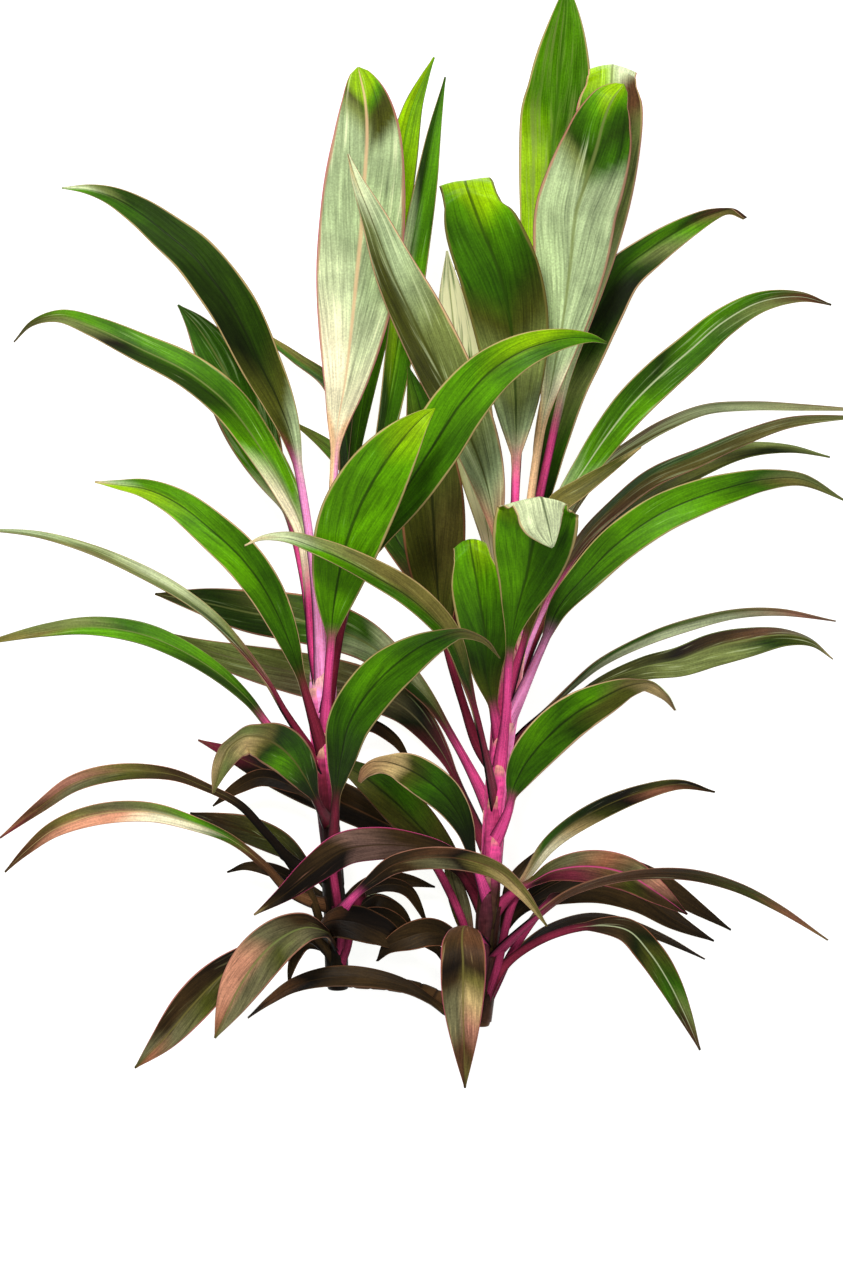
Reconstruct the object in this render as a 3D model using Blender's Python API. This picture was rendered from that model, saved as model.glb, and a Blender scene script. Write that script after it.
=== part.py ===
"""Ti plant (Cordyline fruticosa): a clump of two canes, cut at the root and laid on its back.

Run with: blender --background --python part.py

Units are metres. +X is to the right and +Y is up in the photograph, and +Z points from the
surface that the clump lies on towards the eye above it. Every leaf is a solid of its own, a
petiole that widens into a thin blade, and its foot is seated on the cane that it grows from.
"""
import math
from dataclasses import dataclass

import bpy
import numpy as np

# Driving dimensions, in metres
PIXEL = 0.001              # one pixel of the photograph, at the height of the canes
EYE_HEIGHT = 4.2           # the eye stands this far above the surface
CANE_HEIGHT = 0.1          # height at which a pixel is exactly PIXEL wide
MIDDLE_PX = (421.5, 632.0)  # the middle of the photograph, straight below the eye
SETTLE = 0.018             # leaf paths are drawn from a plane this far under the surface
ORIGIN_SHIFT = (-0.0002, -0.1031)  # puts the origin under the middle of the clump's box

PETIOLE_WIDTH = 0.0085
PETIOLE_THICK = 0.0048
BLADE_THICK = 0.0009
RIB_THICK_TIP = 0.0014     # midrib at the tip of the blade
TIP_WIDTH = 0.0022
PRESS_HEIGHT = 0.014       # a leaf lower than this flattens against the surface
WIDE_BLADE = 0.040         # blades wider than this have four panels across, others two
WAVE_HEIGHT = 0.03         # height of the wave along a blade's edges, for a half width of 1
WAVES = 3.2                # number of waves along the leaf
LEFT_WAVE_LAG = 2.1        # the left edge's wave is this many radians behind the right's
TIP_TURN_FROM = 0.62       # a tip's extra turn starts at this part of the length
LEVEL_PLACE = 0.55         # the blade is level across here, before its own turn

PANEL_LENGTH = 0.034       # a leaf has about one station for each of these along it
FEWEST_PANELS = 7
MOST_PANELS = 12
BEND_WEIGHT = 0.28         # how strongly a bend draws the stations closer together
MOST_BEND = 40.0           # bends sharper than this draw no closer

SEAT_GAP = 0.0003          # between a leaf's foot and its cane
LEAF_GAP = 0.0012          # least clear height between leaves that cross
OUTLINE_SPARE = 0.0016     # leaves count as this much wider when crossings are looked for
STEEPEST = 6.0             # slopes steeper than this count as this
THICKEST_CROSSING = 0.009  # most half depth that a sloping blade takes up at a crossing
PUSH_SHARE = 0.6           # part of a crossing's want that one round moves
EVEN_SHARE = 0.1           # part that each neighbour gives when lifts are evened out
EVEN_ROUNDS = 0.8          # lifts are evened out for this part of the rounds
CELL = 0.003               # grid on which crossing leaves are found
FOOT_DEPTH = 0.0045        # a foot starts at least this far inside its cane's surface
PRESS_DEPTH = 0.006        # how far a drawn path may run under the surface
CANE_SIDES = 12

# Canes: photograph pixels across and down, height in mm, radius in mm
RIGHT_CANE = [
    (479, 1024, 70, 11.0), (483, 985, 78, 11.0), (486, 950, 85, 10.5), (491, 880, 95, 10.0),
    (496, 800, 103, 10.0), (503, 730, 108, 11.0), (507, 690, 110, 12.5), (510, 645, 110, 13.5),
    (511, 618, 109, 11.5), (512, 602, 108, 7.0), (512, 597, 108, 2.5),
]
LEFT_CANE = [
    (338, 988, 60, 11.0), (337, 950, 68, 11.0), (336, 915, 76, 10.5), (332, 850, 85, 10.0),
    (326, 780, 92, 10.5), (323, 725, 95, 12.0), (322, 690, 95, 13.0), (323, 655, 94, 11.5),
    (324, 636, 93, 7.0), (324, 631, 93, 2.5),
]
ROOTSTOCK = [
    (338, 978, 62, 8.0), (360, 981, 58, 8.0), (385, 983, 56, 7.5), (420, 990, 57, 7.5),
    (450, 1003, 63, 8.0), (480, 1014, 72, 8.0),
]


@dataclass(frozen=True)
class Leaf:
    """One leaf: its path from foot to tip, and how the blade is turned along it."""
    name: str
    width: float            # widest part of the blade, mm
    path: tuple             # pixels across and down, height in mm
    face: float = 0.0       # 0 shows the upper side to the eye, 180 the underside
    fold: float = 14.0      # angle by which each half of the blade is raised
    neck: float = 0.22      # part of the length that is petiole
    peak: float = 0.46      # where along the blade it is widest
    blunt: float = 0.95     # lower is rounder at both ends
    tip_turn: float = 0.0   # extra turn of the blade towards its tip
    tone: str = "green"


RIGHT_LEAVES = [
    Leaf("leaf_right_top_spear", 72,
         ((511, 612, 107), (514, 520, 72), (520, 420, 36), (528, 330, 14), (536, 260, 12),
          (545, 200, 12), (552, 150, 14), (557, 100, 26), (561, 60, 38), (565, 20, 48),
          (567, -18, 54)), face=6, fold=20, neck=0.38, peak=0.67),
    Leaf("leaf_right_top_broad", 84,
         ((510, 646, 114), (524, 555, 128), (532, 490, 132), (541, 430, 136), (552, 380, 140),
          (563, 320, 146), (570, 267, 152), (576, 213, 162), (584, 187, 170), (596, 150, 182),
          (604, 120, 190), (612, 100, 193), (624, 84, 188)), face=180, neck=0.36, peak=0.62),
    Leaf("leaf_right_top_curled", 72,
         ((512, 616, 104), (529, 550, 101), (541, 490, 106), (554, 430, 110), (567, 370, 112),
          (581, 300, 116), (593, 230, 122), (602, 170, 130), (609, 120, 138), (611, 90, 140),
          (612, 70, 134), (613, 66, 116), (614, 82, 98), (615, 112, 92)), face=180, neck=0.34,
         peak=0.6),
    Leaf("leaf_right_dark_arm", 54,
         ((511, 645, 104), (528, 560, 98), (541, 500, 96), (549, 442, 96), (562, 388, 98),
          (580, 345, 100), (597, 310, 104), (620, 272, 110), (650, 248, 114), (685, 226, 112),
          (715, 212, 104), (735, 208, 96), (748, 216, 88)), face=20, fold=25),
    Leaf("leaf_right_shield", 82,
         ((509, 682, 114), (513, 590, 140), (515, 500, 150), (516, 445, 156), (515, 380, 164),
          (510, 320, 172), (499, 272, 182), (486, 238, 192), (473, 205, 202), (467, 187, 204),
          (465, 181, 190), (464, 192, 168), (460, 230, 150), (456, 270, 142)), face=0,
         neck=0.36, peak=0.46),
    Leaf("leaf_right_striped", 54,
         ((508, 665, 106), (497, 590, 90), (482, 500, 84), (467, 420, 84), (459, 370, 86),
          (453, 320, 90), (449, 280, 96), (447, 250, 100)), face=15, peak=0.55),
    Leaf("leaf_right_silver", 66,
         ((509, 655, 112), (503, 590, 128), (494, 515, 140), (483, 470, 146), (462, 418, 152),
          (439, 372, 160), (413, 318, 168), (392, 273, 176), (372, 220, 182), (356, 180, 184),
          (348, 154, 182)), face=155, fold=26),
    Leaf("leaf_right_hanging_middle", 66,
         ((499, 775, 104), (478, 745, 98), (462, 700, 94), (449, 655, 92), (440, 612, 94),
          (435, 550, 98), (431, 480, 104), (423, 420, 108), (408, 366, 108)), neck=0.34),
    Leaf("leaf_right_high_arm", 38,
         ((509, 665, 106), (527, 590, 102), (552, 520, 104), (590, 460, 106), (608, 434, 112),
          (630, 406, 118), (660, 376, 126), (690, 350, 130), (723, 322, 131), (760, 302, 126),
          (800, 297, 116), (831, 305, 104)), face=12, peak=0.5),
    Leaf("leaf_right_thin_high", 24,
         ((508, 690, 104), (532, 600, 92), (560, 530, 88), (600, 468, 90), (640, 437, 96),
          (668, 421, 100), (705, 407, 106), (750, 404, 104), (800, 406, 98), (850, 409, 90),
          (875, 412, 85)), face=60),
    Leaf("leaf_right_olive_short", 30,
         ((508, 700, 125), (530, 620, 150), (545, 540, 165), (556, 503, 170), (580, 486, 172),
          (610, 467, 170), (641, 447, 164)), face=140),
    Leaf("leaf_right_thin_pink_stalk", 30,
         ((505, 712, 110), (530, 640, 104), (560, 575, 104), (585, 535, 106), (612, 507, 110),
          (650, 476, 114), (700, 454, 114), (745, 435, 110), (790, 421, 104), (845, 417, 96),
          (868, 418, 92)), face=52),
    Leaf("leaf_right_shadow_arm", 30,
         ((504, 724, 100), (535, 640, 90), (575, 560, 86), (610, 522, 84), (650, 492, 84),
          (700, 464, 84), (745, 449, 82), (790, 448, 76), (830, 457, 68)), face=150,
         tone="dark"),
    Leaf("leaf_right_broad_arm", 40,
         ((504, 735, 116), (522, 692, 124), (545, 640, 130), (559, 607, 134), (587, 574, 138),
          (618, 543, 144), (658, 515, 148), (696, 498, 148), (730, 487, 142), (765, 479, 132),
          (802, 479, 118), (846, 501, 98)), face=5, tip_turn=50, peak=0.4),
    Leaf("leaf_right_folded_front", 84,
         ((499, 776, 112), (506, 712, 148), (510, 650, 182), (517, 612, 204), (526, 578, 226),
          (532, 548, 246), (537, 520, 262), (539, 503, 274), (540, 497, 288), (542, 500, 302),
          (546, 515, 307), (553, 547, 298)), neck=0.34, peak=0.62),
    Leaf("leaf_right_small_lime", 54,
         ((502, 746, 114), (493, 705, 140), (487, 672, 158), (486, 640, 176), (481, 608, 192),
          (476, 578, 204), (472, 556, 212), (470, 543, 212), (469, 540, 200), (469, 556, 184),
          (468, 600, 172)), neck=0.15, peak=0.48),
    Leaf("leaf_right_crossing", 34,
         ((496, 808, 112), (487, 762, 142), (476, 715, 160), (463, 672, 180), (449, 638, 196),
          (430, 616, 206), (405, 595, 212), (375, 577, 216), (345, 561, 218), (315, 548, 218),
          (288, 539, 214), (262, 539, 208), (245, 546, 202)), face=35, fold=24, neck=0.27),
    Leaf("leaf_right_tan_tip", 44,
         ((500, 845, 108), (508, 812, 140), (515, 785, 165), (527, 762, 185), (547, 738, 205),
          (572, 716, 222), (602, 698, 236), (630, 685, 246), (652, 683, 246), (667, 694, 238),
          (676, 710, 226)), tip_turn=55, peak=0.4),
    Leaf("leaf_right_thin_middle", 24,
         ((502, 765, 96), (520, 735, 88), (545, 712, 86), (570, 688, 86), (600, 662, 86),
          (645, 638, 86), (690, 622, 84), (735, 612, 80), (780, 611, 74), (836, 621, 64)),
         face=60),
    Leaf("leaf_right_twisted_middle", 38,
         ((499, 782, 92), (525, 745, 80), (560, 712, 74), (600, 684, 72), (645, 667, 74),
          (680, 660, 74), (713, 648, 74), (747, 640, 72), (785, 635, 68), (812, 641, 62),
          (833, 659, 54)), face=155, tip_turn=-30, peak=0.6, tone="dark"),
    Leaf("leaf_right_low_green", 24,
         ((487, 938, 78), (507, 905, 84), (529, 872, 90), (547, 846, 96), (567, 828, 100),
          (600, 808, 102), (640, 792, 100), (680, 784, 94), (715, 792, 84)), face=30,
         tone="dark"),
    Leaf("leaf_right_bronze_arch", 36,
         ((489, 918, 86), (510, 895, 88), (535, 880, 92), (555, 870, 100), (590, 866, 108),
          (625, 873, 110), (655, 891, 104), (687, 914, 92)), peak=0.5, tone="bronze"),
    Leaf("leaf_right_low_dark", 34,
         ((486, 950, 76), (520, 912, 60), (560, 893, 50), (600, 887, 46), (640, 897, 42),
          (675, 920, 36), (714, 941, 28)), face=160, tone="dark"),
    Leaf("leaf_right_low_resting", 30,
         ((484, 966, 66), (520, 905, 46), (570, 875, 30), (620, 872, 18), (660, 885, 14),
          (700, 910, 14), (731, 930, 20)), tone="dark"),
    Leaf("leaf_right_long_whip", 18,
         ((484, 968, 86), (505, 945, 96), (535, 918, 108), (565, 895, 120), (600, 881, 130),
          (640, 873, 134), (690, 873, 130), (735, 885, 120), (780, 908, 104), (828, 940, 84)),
         face=50, tone="bronze"),
    Leaf("leaf_right_low_whip", 18,
         ((482, 988, 76), (510, 958, 68), (545, 930, 66), (585, 917, 64), (625, 922, 60),
          (665, 938, 52), (705, 959, 42)), face=50, tone="dark"),
    Leaf("leaf_right_drooping", 28,
         ((481, 1003, 80), (505, 965, 92), (545, 938, 104), (590, 926, 114), (627, 930, 116),
          (649, 952, 112), (668, 981, 104), (684, 1013, 94), (700, 1050, 80)), neck=0.42,
         peak=0.4, tone="bronze"),
    Leaf("leaf_right_hanging_front", 46,
         ((487, 948, 88), (474, 930, 114), (464, 928, 134), (462, 942, 152), (463, 960, 160),
          (463, 1000, 160), (464, 1045, 152), (465, 1088, 138)), neck=0.16, peak=0.36,
         tone="bronze"),
    Leaf("leaf_right_lowest_left", 24,
         ((479, 1014, 76), (463, 1021, 88), (445, 1014, 92), (430, 1001, 96), (408, 988, 98),
          (370, 979, 98), (330, 978, 96), (295, 986, 88), (270, 1001, 80), (248, 1018, 70)),
         face=35, tone="dark"),
    Leaf("leaf_right_tan_flap", 38,
         ((489, 905, 94), (480, 878, 116), (472, 855, 132), (464, 826, 148), (448, 799, 164),
          (428, 781, 180), (408, 769, 192), (388, 762, 200), (372, 762, 202), (362, 769, 196),
          (358, 781, 186)), tip_turn=20, peak=0.55),
    Leaf("leaf_right_dark_sweep", 42,
         ((488, 922, 86), (471, 890, 84), (452, 862, 86), (430, 838, 90), (405, 812, 94),
          (378, 788, 96), (352, 770, 94), (325, 758, 90)), face=10, tone="dark"),
    Leaf("leaf_right_long_left", 54,
         ((495, 822, 92), (478, 785, 80), (455, 742, 66), (430, 702, 56), (400, 670, 48),
          (360, 640, 42), (310, 623, 40), (250, 613, 38), (200, 602, 34), (155, 594, 28)),
         face=20, peak=0.58),
    Leaf("leaf_right_resting_left", 46,
         ((492, 862, 84), (465, 800, 66), (441, 750, 50), (405, 708, 38), (360, 688, 30),
          (300, 674, 20), (240, 660, 14), (190, 645, 14), (152, 629, 22)), face=170,
         tone="dark"),
    Leaf("leaf_right_brown_left", 40,
         ((489, 900, 78), (468, 872, 66), (445, 850, 54), (400, 830, 42), (350, 806, 34),
          (300, 784, 28), (255, 765, 26), (225, 751, 24), (198, 740, 22)), face=170,
         tone="bronze"),
    Leaf("leaf_right_bronze_over", 36,
         ((490, 888, 94), (472, 862, 122), (445, 850, 146), (410, 846, 164), (375, 845, 174),
          (345, 850, 174), (315, 870, 168), (285, 894, 156), (254, 915, 140)), face=165,
         tone="bronze"),
    Leaf("leaf_right_low_short", 30,
         ((484, 962, 84), (455, 940, 98), (430, 932, 106), (405, 938, 108), (385, 948, 104),
          (376, 961, 96)), tone="dark"),
    Leaf("leaf_right_behind_middle", 34,
         ((504, 706, 98), (470, 645, 74), (430, 590, 60), (400, 545, 52), (360, 480, 44),
          (325, 445, 40), (290, 420, 36)), face=20, tone="dark"),
]
LEFT_LEAVES = [
    Leaf("leaf_left_glossy_arm", 50,
         ((322, 690, 106), (318, 620, 122), (311, 550, 132), (302, 490, 140), (291, 436, 144),
          (277, 399, 150), (258, 360, 154), (245, 332, 158), (233, 309, 160), (215, 283, 160),
          (192, 255, 158), (167, 234, 154), (140, 213, 148), (112, 197, 138), (88, 190, 130),
          (62, 188, 120)), face=8, fold=20, neck=0.36),
    Leaf("leaf_left_second_arm", 40,
         ((321, 700, 100), (312, 640, 106), (307, 580, 108), (302, 530, 108), (285, 490, 108),
          (258, 445, 110), (228, 405, 112), (190, 374, 112), (140, 349, 108), (95, 328, 100),
          (60, 317, 90), (32, 324, 80), (14, 342, 72)), face=22),
    Leaf("leaf_left_back_broad", 60,
         ((321, 712, 94), (312, 640, 90), (303, 575, 86), (290, 520, 82), (272, 480, 78),
          (255, 440, 74), (237, 397, 72), (217, 357, 70), (196, 325, 66), (178, 305, 62)),
         face=5, neck=0.46, peak=0.5),
    Leaf("leaf_left_behind_strip", 30,
         ((322, 662, 84), (335, 560, 62), (347, 450, 50), (330, 388, 44), (296, 360, 38),
          (266, 338, 34), (240, 318, 30)), face=45, tone="dark"),
    Leaf("leaf_left_tall_pale", 88,
         ((323, 672, 106), (327, 600, 118), (332, 510, 126), (337, 430, 130), (345, 383, 132),
          (351, 333, 135), (356, 283, 139), (361, 233, 144), (364, 187, 150), (367, 133, 155),
          (365, 100, 156), (358, 67, 146)), face=180, neck=0.36, peak=0.56, blunt=0.8),
    Leaf("leaf_left_lime_spear", 42,
         ((323, 665, 98), (335, 580, 90), (350, 480, 84), (370, 350, 82), (388, 225, 84),
          (400, 160, 86), (412, 107, 84), (423, 80, 81), (434, 57, 78)), face=25, peak=0.62),
    Leaf("leaf_left_lime_narrow", 38,
         ((324, 682, 100), (345, 610, 102), (365, 520, 98), (384, 430, 96), (396, 350, 98),
          (409, 262, 100), (423, 186, 102), (433, 130, 100), (445, 77, 94)), face=32, fold=24,
         peak=0.55),
    Leaf("leaf_left_front_lime", 72,
         ((323, 745, 106), (327, 690, 142), (331, 640, 168), (334, 605, 186), (342, 560, 206),
          (356, 515, 224), (378, 473, 240), (404, 437, 250), (424, 416, 252), (435, 408, 248)),
         neck=0.32, peak=0.52, blunt=0.8),
    Leaf("leaf_left_front_long", 56,
         ((323, 730, 106), (335, 660, 130), (350, 590, 150), (375, 535, 170), (405, 490, 188),
          (432, 448, 202), (460, 405, 212), (490, 372, 220), (525, 350, 224), (562, 339, 220),
          (590, 338, 212), (607, 343, 204)), neck=0.3),
    Leaf("leaf_left_inner_curl", 48,
         ((331, 862, 88), (336, 800, 140), (342, 755, 178), (350, 722, 204), (372, 688, 226),
          (402, 659, 246), (432, 640, 258), (462, 631, 262), (485, 639, 254), (500, 658, 240)),
         tip_turn=70),
    Leaf("leaf_left_lime_arm", 40,
         ((324, 758, 104), (312, 715, 124), (298, 668, 138), (286, 634, 146), (266, 592, 154),
          (242, 559, 160), (210, 529, 160), (178, 504, 154), (145, 489, 144), (118, 485, 134),
          (95, 482, 124)), face=5, fold=16),
    Leaf("leaf_left_thin_arm", 22,
         ((325, 772, 98), (305, 742, 106), (285, 712, 110), (268, 683, 110), (245, 653, 108),
          (215, 621, 106), (180, 595, 102), (140, 573, 98), (90, 551, 92), (40, 536, 84),
          (-5, 531, 76), (-30, 531, 70)), face=55),
    Leaf("leaf_left_green_arm", 24,
         ((326, 788, 92), (300, 756, 92), (272, 730, 92), (248, 700, 92), (216, 672, 92),
          (178, 649, 92), (140, 634, 90), (90, 627, 84), (45, 631, 76), (0, 640, 66),
          (-25, 646, 60)), face=25),
    Leaf("leaf_left_folded", 46,
         ((328, 826, 98), (320, 808, 134), (312, 791, 162), (303, 774, 188), (291, 757, 210),
          (276, 744, 230), (259, 736, 248), (243, 737, 258), (229, 747, 258), (220, 766, 248),
          (213, 793, 232)), peak=0.5),
    Leaf("leaf_left_red_tip", 18,
         ((331, 878, 92), (312, 872, 96), (293, 862, 98), (268, 835, 98), (240, 805, 100),
          (208, 788, 102), (170, 774, 100), (120, 772, 96), (75, 783, 88), (40, 807, 78),
          (0, 838, 66)), neck=0.34, peak=0.55, tone="bronze"),
    Leaf("leaf_left_brown_tip", 22,
         ((333, 908, 84), (308, 900, 86), (288, 890, 86), (265, 866, 86), (232, 840, 86),
          (195, 824, 84), (150, 812, 82), (100, 814, 76), (55, 829, 68), (25, 852, 60),
          (5, 872, 54)), neck=0.25, peak=0.55, tone="bronze"),
    Leaf("leaf_left_dark_low", 32,
         ((332, 893, 70), (310, 868, 60), (285, 848, 52), (255, 834, 46), (225, 824, 42),
          (190, 813, 38)), face=160, tone="dark"),
    Leaf("leaf_left_olive_right", 24,
         ((335, 918, 88), (352, 898, 130), (372, 880, 156), (395, 864, 174), (430, 857, 190),
          (465, 859, 198), (497, 870, 198), (522, 892, 190), (547, 926, 172)), face=20),
    Leaf("leaf_left_salmon_edge", 48,
         ((336, 948, 82), (325, 932, 116), (304, 928, 140), (281, 938, 152), (260, 957, 154),
          (243, 981, 148), (229, 1008, 138), (215, 1038, 126)), neck=0.16, peak=0.5,
         tone="bronze"),
    Leaf("leaf_left_lowest", 40,
         ((337, 958, 72), (312, 938, 78), (280, 938, 82), (249, 955, 80), (219, 978, 76),
          (192, 1006, 70), (163, 1040, 60), (135, 1068, 50)), face=10, peak=0.52,
         tone="bronze"),
]

TONES = {
    "green": (0.10, 0.32, 0.03),
    "dark": (0.02, 0.06, 0.01),
    "bronze": (0.08, 0.05, 0.02),
}
CANE_COLOUR = (0.45, 0.06, 0.16)
ROOT_COLOUR = (0.12, 0.05, 0.03)


def place(path):
    """Rows of pixels and height in mm, as points in metres seen from the eye above."""
    seen = np.asarray(path, dtype=float)
    height = seen[:, 2] / 1000.0 - SETTLE
    span = PIXEL * (EYE_HEIGHT - height) / (EYE_HEIGHT - CANE_HEIGHT)
    across = (seen[:, 0] - MIDDLE_PX[0]) * span + ORIGIN_SHIFT[0]
    along = (MIDDLE_PX[1] - seen[:, 1]) * span + ORIGIN_SHIFT[1]
    return np.column_stack((across, along, height))


def smooth(value):
    """The soft step: 0 below 0, 1 above 1, level at both ends."""
    value = np.clip(value, 0.0, 1.0)
    return value * value * (3.0 - 2.0 * value)


def unit(rows):
    """Each row scaled to length 1."""
    return rows / np.linalg.norm(rows, axis=-1, keepdims=True)


def curve_through(points, per_span=24):
    """A smooth curve through the points (centripetal Catmull-Rom), as many close points."""
    first = 2.0 * points[0] - points[1]
    last = 2.0 * points[-1] - points[-2]
    knots = np.vstack((first, points, last))
    steps = np.linalg.norm(np.diff(knots, axis=0), axis=1) ** 0.5
    time = np.concatenate(([0.0], np.cumsum(steps)))
    rows = []
    for i in range(1, len(knots) - 2):
        t0, t1, t2, t3 = time[i - 1:i + 3]
        p0, p1, p2, p3 = knots[i - 1:i + 3]
        t = np.linspace(t1, t2, per_span, endpoint=False)[:, None]
        a1 = (t1 - t) / (t1 - t0) * p0 + (t - t0) / (t1 - t0) * p1
        a2 = (t2 - t) / (t2 - t1) * p1 + (t - t1) / (t2 - t1) * p2
        a3 = (t3 - t) / (t3 - t2) * p2 + (t - t2) / (t3 - t2) * p3
        b1 = (t2 - t) / (t2 - t0) * a1 + (t - t0) / (t2 - t0) * a2
        b2 = (t3 - t) / (t3 - t1) * a2 + (t - t1) / (t3 - t1) * a3
        rows.append((t2 - t) / (t2 - t1) * b1 + (t - t1) / (t2 - t1) * b2)
    rows.append(points[-1][None, :])
    return np.vstack(rows)


class Spine:
    """The line of a leaf's midrib, with the directions across and out of the blade."""

    def __init__(self, leaf, cane):
        drawn = place(leaf.path)
        drawn[0], self.foot_room = cane.seat(drawn[0])
        self.points = curve_through(drawn)
        steps = np.linalg.norm(np.diff(self.points, axis=0), axis=1)
        travelled = np.concatenate(([0.0], np.cumsum(steps)))
        self.length = travelled[-1]
        self.along = travelled / self.length
        self.tangent = unit(np.gradient(self.points, travelled, axis=0))
        across = self._carried_across()
        out = np.cross(self.tangent, across)
        pressed = smooth(self.points[:, 2] / PRESS_HEIGHT)
        level = 180.0 * round(leaf.face / 180.0)
        turn = level + (leaf.face - level) * pressed
        late = smooth((self.along - TIP_TURN_FROM) / (1.0 - TIP_TURN_FROM))
        turn = np.radians(turn + leaf.tip_turn * late)[:, None]
        self.across = np.cos(turn) * across + np.sin(turn) * out
        self.out = np.cos(turn) * out - np.sin(turn) * across
        self.fold = math.radians(leaf.fold) * pressed

    def _carried_across(self):
        """Level across the middle of the blade, and carried from there without twist."""
        middle = int(np.searchsorted(self.along, LEVEL_PLACE))
        up = np.array((0.0, 0.0, 1.0))
        across = np.zeros_like(self.tangent)
        across[middle] = unit(np.cross(up, self.tangent[middle]))
        onward = [(i, i - 1) for i in range(middle + 1, len(across))]
        backward = [(i, i + 1) for i in range(middle - 1, -1, -1)]
        for i, before in onward + backward:
            carried = across[before]
            across[i] = unit(carried - self.tangent[i] * carried.dot(self.tangent[i]))
        return across

    def at(self, rows, along):
        """A row of values read at each place along the spine."""
        return np.column_stack([np.interp(along, self.along, rows[:, k]) for k in range(3)])

    def stations(self, count):
        """Places along the spine, closer together where it bends."""
        bend = np.linalg.norm(np.gradient(self.tangent, self.along, axis=0), axis=1)
        weight = 1.0 + BEND_WEIGHT * np.minimum(bend, MOST_BEND)
        travelled = np.concatenate(([0.0], np.cumsum(weight[1:] * np.diff(self.along))))
        return np.interp(np.linspace(0.0, travelled[-1], count + 1), travelled, self.along)


def half_width(leaf, along, spare=0.0):
    """Half the leaf's width: the petiole's, then the blade's, which narrows to the tip."""
    blade = np.clip((along - leaf.neck) / (1.0 - leaf.neck), 0.0, 1.0)
    bulge = math.log(0.5) / math.log(leaf.peak)
    outline = np.sin(np.pi * blade ** bulge) ** leaf.blunt * (along > leaf.neck)
    stalk = 0.5 * PETIOLE_WIDTH * (1.0 - blade) + 0.5 * TIP_WIDTH * blade
    return np.sqrt(stalk ** 2 + (0.0005 * leaf.width * outline) ** 2) + spare


def leaf_grid(leaf, spine, along, across, spare=0.0):
    """Middle surface and half thickness of a leaf on a grid of stations and places across."""
    across = across[None, :]
    v = along[:, None]
    width = half_width(leaf, along, spare)[:, None]
    is_blade = smooth((v - 0.7 * leaf.neck) / (0.3 + 0.3 * leaf.neck))
    fold = np.interp(along, spine.along, spine.fold)[:, None] * is_blade
    wave_height = WAVE_HEIGHT * width * is_blade * across ** 2 * (fold > 0.02)
    lag = np.where(across > 0.0, 0.0, LEFT_WAVE_LAG)
    wave = wave_height * np.sin(2.0 * np.pi * WAVES * v + lag)
    side = width * across * np.cos(fold)
    rise = width * np.abs(across) * np.sin(fold) + wave
    centre = spine.at(spine.points, along)[:, None, :]
    side_way = unit(spine.at(spine.across, along))[:, None, :]
    out_way = unit(spine.at(spine.out, along))[:, None, :]
    middle = centre + side[..., None] * side_way + rise[..., None] * out_way
    rib = 0.5 * (PETIOLE_THICK * (1.0 - is_blade) + BLADE_THICK * 2.6 * is_blade * (1.0 - v))
    rib = rib + 0.5 * RIB_THICK_TIP * is_blade * v
    edge = 0.5 * (PETIOLE_THICK * 0.55 * (1.0 - is_blade) + BLADE_THICK * is_blade)
    half_thick = edge + (rib - edge) * (1.0 - np.abs(across)) ** 2
    return middle, half_thick, out_way


def panels(count_along, count_across):
    """The two triangles of each panel of a grid, as indices of its points."""
    rows = count_across + 1
    i, j = np.meshgrid(np.arange(count_along), np.arange(count_across), indexing="ij")
    a = (i * rows + j).ravel()
    b = a + rows
    return np.vstack((np.column_stack((a, b, b + 1)), np.column_stack((a, b + 1, a + 1))))


class LeafShape:
    """A leaf's stations, its places across, and how far each station is lifted clear."""

    def __init__(self, leaf, cane):
        self.leaf = leaf
        self.spine = Spine(leaf, cane)
        wide = leaf.width / 1000.0 > WIDE_BLADE
        wanted = round(self.spine.length / PANEL_LENGTH)
        self.count = int(np.clip(wanted, FEWEST_PANELS, MOST_PANELS))
        self.places = np.linspace(-1.0, 1.0, 5 if wide else 3)
        self.along = self.spine.stations(self.count)
        self.lift = np.zeros(self.count + 1)

    def grid(self, spare=0.0):
        """Middle surface, half thickness and outward direction, before the lift."""
        return leaf_grid(self.leaf, self.spine, self.along, self.places, spare)

    def mesh_data(self):
        """Corner points and triangles of the closed solid, after its lift."""
        middle, half_thick, out_way = self.grid()
        middle = middle + self.lift[:, None, None] * np.array((0.0, 0.0, 1.0))
        top = middle + half_thick[..., None] * out_way
        bottom = middle - half_thick[..., None] * out_way
        lower = np.minimum(top[..., 2], bottom[..., 2])
        raised = np.maximum(0.0, -lower)
        top[..., 2] += raised
        bottom[..., 2] += raised
        rows = len(self.places)
        flat = panels(self.count, rows - 1)
        size = (self.count + 1) * rows
        faces = [flat, flat[:, ::-1] + size]
        i = np.arange(self.count) * rows
        left_quads = np.column_stack((i, i + size, i + rows + size, i + rows))
        j = i + rows - 1
        right_quads = np.column_stack((j, j + rows, j + rows + size, j + size))
        k = np.arange(rows - 1)
        foot = np.column_stack((k, k + 1, k + 1 + size, k + size))
        k = k + self.count * rows
        tip = np.column_stack((k, k + size, k + 1 + size, k + 1))
        for quads in (left_quads, right_quads, foot, tip):
            faces.append(quads[:, [0, 1, 2]])
            faces.append(quads[:, [0, 2, 3]])
        points = np.vstack((top.reshape(-1, 3), bottom.reshape(-1, 3)))
        return points, np.vstack(faces)


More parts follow.
